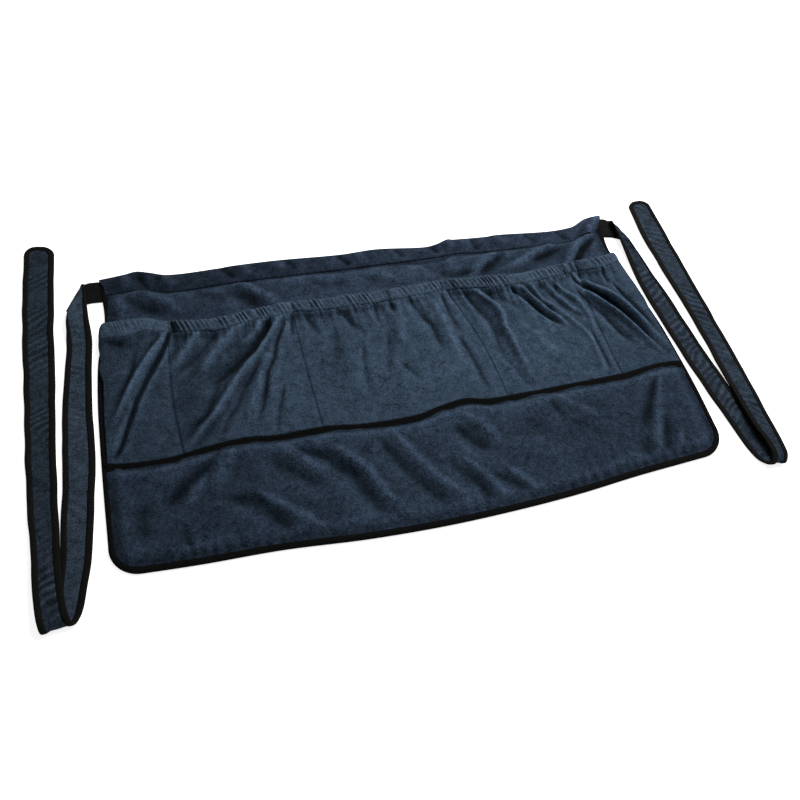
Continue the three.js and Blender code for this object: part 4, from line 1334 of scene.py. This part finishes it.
edge_inset = np.maximum(BINDING_LEG * edge_leg - 1.6, 0.6)[:, None]
edge_rise = (RIM + CLOTH / 2) * lerp(THIN_ROLL, 1.0, edge_leg)[:, None] - 0.3
edge_stitch = rim_spine - rim_out * edge_inset + rim_rise * edge_rise
edge_stitches = thread("edge_stitches", [edge_stitch])

# %% [markdown]
# ## Nodes for cloth
#
# Plush and tape differ in their texture, but both need the same few nodes: a group that gives a
# tone and a height, a mix of two colours by that tone, and a bump from that height. Writing them
# out for each material would hide what differs, so small helpers build the shared part.


# %% Nodes for cloth
def node(tree, kind, **values):
    made = tree.nodes.new(kind)
    for key, value in values.items():
        setattr(made, key, value)
    return made


def set_values(made, values):
    for socket, value in values.items():
        made.inputs[socket].default_value = value


def mix_value(tree, kind, first, second):
    maths = node(tree, "ShaderNodeMath", operation=kind)
    for socket, value in zip(maths.inputs, (first, second)):
        if isinstance(value, (int, float)):
            socket.default_value = value
        else:
            tree.links.new(value, socket)
    return maths.outputs[0]


def texture_group(name):
    """An empty shader group that gives a tone and a height."""
    tree = bpy.data.node_groups.new(name, "ShaderNodeTree")
    for socket in ("Tone", "Height"):
        tree.interface.new_socket(socket, in_out="OUTPUT", socket_type="NodeSocketFloat")
    return tree, node(tree, "NodeGroupOutput"), node(tree, "ShaderNodeTexCoord")


def noise(tree, place, values):
    made = node(tree, "ShaderNodeTexNoise")
    set_values(made, values)
    tree.links.new(place, made.inputs["Vector"])
    return made.outputs["Fac"]


def cloth_material(name, group, dark, pale, finish, strength, bump):
    """A material with its bump in place, its texture, and the colour that waits for Base Color."""
    material = bpy.data.materials.new(name)
    material.use_nodes = True
    tree = material.node_tree
    shader = tree.nodes["Principled BSDF"]
    set_values(shader, finish)
    texture = node(tree, "ShaderNodeGroup", node_tree=group)
    colour = node(tree, "ShaderNodeMix", data_type="RGBA")
    set_values(colour, {"A": (*dark, 1), "B": (*pale, 1)})
    tree.links.new(texture.outputs["Tone"], colour.inputs["Factor"])
    relief = node(tree, "ShaderNodeBump")
    set_values(relief, {"Strength": strength, "Distance": bump})
    tree.links.new(texture.outputs["Height"], relief.inputs["Height"])
    tree.links.new(relief.outputs["Normal"], shader.inputs["Normal"])
    return material, texture, colour.outputs["Result"]


print("helpers for cloth materials ready")

# %% [markdown]
# ## Plush
#
# Plush is short pile: thousands of soft tufts, dark between them and light at their tips. Real hair
# strands would be far too many, and a flat colour would look like card. The shared group `pile`
# mixes three sizes of noise, tufts of about 2 mm, clumps of about 8 mm and brushed patches of two
# or three centimetres, into one tone for the colour and one height for the bump. The attribute that
# each plush sheet keeps then paints shade into the creases and a highlight onto the crests, and its
# broad offset paints shade or light over wider parts. Each plush piece has its own two colours.

# %% Plush
TUFT_SHARE, CLUMP_SHARE, BRUSHED_SHARE = 0.50, 0.32, 0.18
PAINTED_CREST_LIGHT = 1.5
PAINTED_CREASE_SHADE = 0.12
PLUSH_RELIEF = 0.8
PLUSH_FINISH = {
    "Roughness": 0.95,
    "Specular IOR Level": 0.03,
    "Sheen Weight": 0.03,
    "Sheen Roughness": 0.5,
    "Sheen Tint": (0.55, 0.68, 0.85, 1),
}


def pile_group():
    tree, result, spot = texture_group("pile")
    tree.interface.new_socket("Tuft scale", in_out="INPUT", socket_type="NodeSocketFloat")
    given = node(tree, "NodeGroupInput")
    place = spot.outputs["Object"]
    tufts = noise(tree, place, {"Detail": 2.0, "Roughness": 0.6})
    tree.links.new(given.outputs["Tuft scale"], tufts.node.inputs["Scale"])
    clumps = noise(tree, place, {"Scale": 130, "Detail": 2.0, "Distortion": 0.6})
    brushed = noise(tree, place, {"Scale": 42, "Detail": 3.0})
    fine = mix_value(tree, "MULTIPLY", tufts, TUFT_SHARE)
    middle = mix_value(tree, "MULTIPLY", clumps, CLUMP_SHARE)
    broad = mix_value(tree, "MULTIPLY", brushed, BRUSHED_SHARE)
    spread = node(tree, "ShaderNodeMapRange")
    set_values(spread, {"From Min": 0.35, "From Max": 0.65})
    tone = mix_value(tree, "ADD", mix_value(tree, "ADD", fine, middle), broad)
    tree.links.new(tone, spread.inputs["Value"])
    tree.links.new(spread.outputs["Result"], result.inputs["Tone"])
    height = mix_value(tree, "ADD", tufts, mix_value(tree, "MULTIPLY", clumps, 0.8))
    tree.links.new(height, result.inputs["Height"])
    return tree


PILE = pile_group()


def plush(name, deep, tip, tuft_scale=430, bump=0.0013):
    material, pile, colour = cloth_material(name, PILE, deep, tip, PLUSH_FINISH, PLUSH_RELIEF, bump)
    tree = material.node_tree
    pile.inputs["Tuft scale"].default_value = tuft_scale
    # Painted shade and highlight: the colour is scaled down in creases and up on crests by the
    # attribute.
    depth = node(tree, "ShaderNodeAttribute", attribute_name="painted_shading").outputs["Fac"]
    shade = node(tree, "ShaderNodeMapRange", interpolation_type="SMOOTHSTEP")
    set_values(shade, {"From Min": -1, "To Min": PAINTED_CREST_LIGHT, "To Max": PAINTED_CREASE_SHADE})
    tree.links.new(depth, shade.inputs["Value"])
    shaded = node(tree, "ShaderNodeVectorMath", operation="SCALE")
    tree.links.new(colour, shaded.inputs[0])
    tree.links.new(shade.outputs["Result"], shaded.inputs["Scale"])
    tree.links.new(shaded.outputs["Vector"], tree.nodes["Principled BSDF"].inputs["Base Color"])
    return material


# The five colour pairs are one plush, painted paler or darker for the light each piece gets: the
# casing and the patch paler, the panel, band and ties darker.
pocket_plush = plush("pocket_plush", (0.013, 0.021, 0.033), (0.056, 0.090, 0.139))
casing_plush = plush("casing_plush", (0.019, 0.029, 0.044), (0.077, 0.119, 0.178))
panel_plush = plush("panel_plush", (0.0075, 0.012, 0.020), (0.040, 0.0635, 0.101), 400, 0.0015)
band_plush = plush("band_plush", (0.009, 0.013, 0.022), (0.037, 0.057, 0.092))
tie_plush = plush("tie_plush", (0.006, 0.009, 0.014), (0.042, 0.061, 0.087))
print("plush materials ready")

# %% [markdown]
# ## Binding and thread
#
# The binding is a matt black tape with a fine cross rib. Its strips carry a UV map in metres of
# tape, so one wave along the strip makes the rib on every piece, round corners and folds alike. A
# little noise breaks the black, because real black tape picks up lint. The ties' tape is a shade
# paler.

# %% Binding and thread
WOVEN_FINISH = {"Roughness": 0.9, "Specular IOR Level": 0.06}
WOVEN_RELIEF = 0.6


def woven_group():
    tree, result, spot = texture_group("woven_rib")
    rib = node(tree, "ShaderNodeTexWave", wave_type="BANDS", bands_direction="X")
    set_values(rib, {"Scale": 300, "Distortion": 0.6})
    tree.links.new(spot.outputs["UV"], rib.inputs["Vector"])
    lint = noise(tree, spot.outputs["Object"], {"Scale": 500, "Detail": 3})
    tree.links.new(mix_value(tree, "MULTIPLY", lint, lint), result.inputs["Tone"])
    height = mix_value(tree, "ADD", rib.outputs["Fac"], mix_value(tree, "MULTIPLY", lint, 0.8))
    tree.links.new(height, result.inputs["Height"])
    return tree


WOVEN = woven_group()


def woven(name, dark, pale, bump):
    material, _, colour = cloth_material(
        name, WOVEN, dark, pale, WOVEN_FINISH, WOVEN_RELIEF, bump
    )
    tree = material.node_tree
    tree.links.new(colour, tree.nodes["Principled BSDF"].inputs["Base Color"])
    return material


black_tape = woven("black_tape", (0.0014, 0.0014, 0.0015), (0.008, 0.008, 0.0085), 0.0003)
tie_tape = woven("tie_tape", (0.0030, 0.0030, 0.0029), (0.014, 0.0135, 0.0125), 0.0003)
black_thread = woven("black_thread", (0.003, 0.003, 0.004), (0.012, 0.012, 0.015), 0.0001)
navy_thread = woven("navy_thread", (0.008, 0.012, 0.018), (0.024, 0.034, 0.050), 0.0001)
print("tape and thread materials ready")

# %% [markdown]
# ## Hand the pieces to the frame
#
# Each piece takes the place of its solids, which are hidden, rides on the one body of the apron and
# takes its material.

# %% Hand the pieces to the frame
POCKET_NAMES = ["left_side", "left", "middle", "right", "right_side"]
CLOTH_PIECES = [
    (apron_panel, panel_plush, ["apron_panel"]),
    (waistband, band_plush, ["waistband"]),
    (pocket_patch, pocket_plush, [f"{name}_patch" for name in POCKET_NAMES]),
    (pocket_elastic, casing_plush, [f"{name}_elastic" for name in POCKET_NAMES]),
    (left_tie, tie_plush, ["left_tie"]),
    (right_tie, tie_plush, ["right_tie"]),
]
BLACK_PIECES = [
    (edge_binding, black_tape, ["edge_binding"]),
    (pocket_tape, black_tape, ["pocket_tape"]),
    (left_tie_binding, tie_tape, ["left_tie_binding"]),
    (right_tie_binding, tie_tape, ["right_tie_binding"]),
    (edge_stitches, black_thread, []),
    (tape_stitches, black_thread, []),
    (seam_stitches, navy_thread, []),
    (waist_stitches, navy_thread, []),
    (mouth_stitches, navy_thread, []),
]
for pieces, slot in ((CLOTH_PIECES, "plush_cloth"), (BLACK_PIECES, "black_binding")):
    for piece, material, nodes in pieces:
        piece.data.materials.append(material)
        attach(piece, "root")
        if nodes:
            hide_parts(*nodes)

print(len(CLOTH_PIECES) + len(BLACK_PIECES), "pieces handed over")
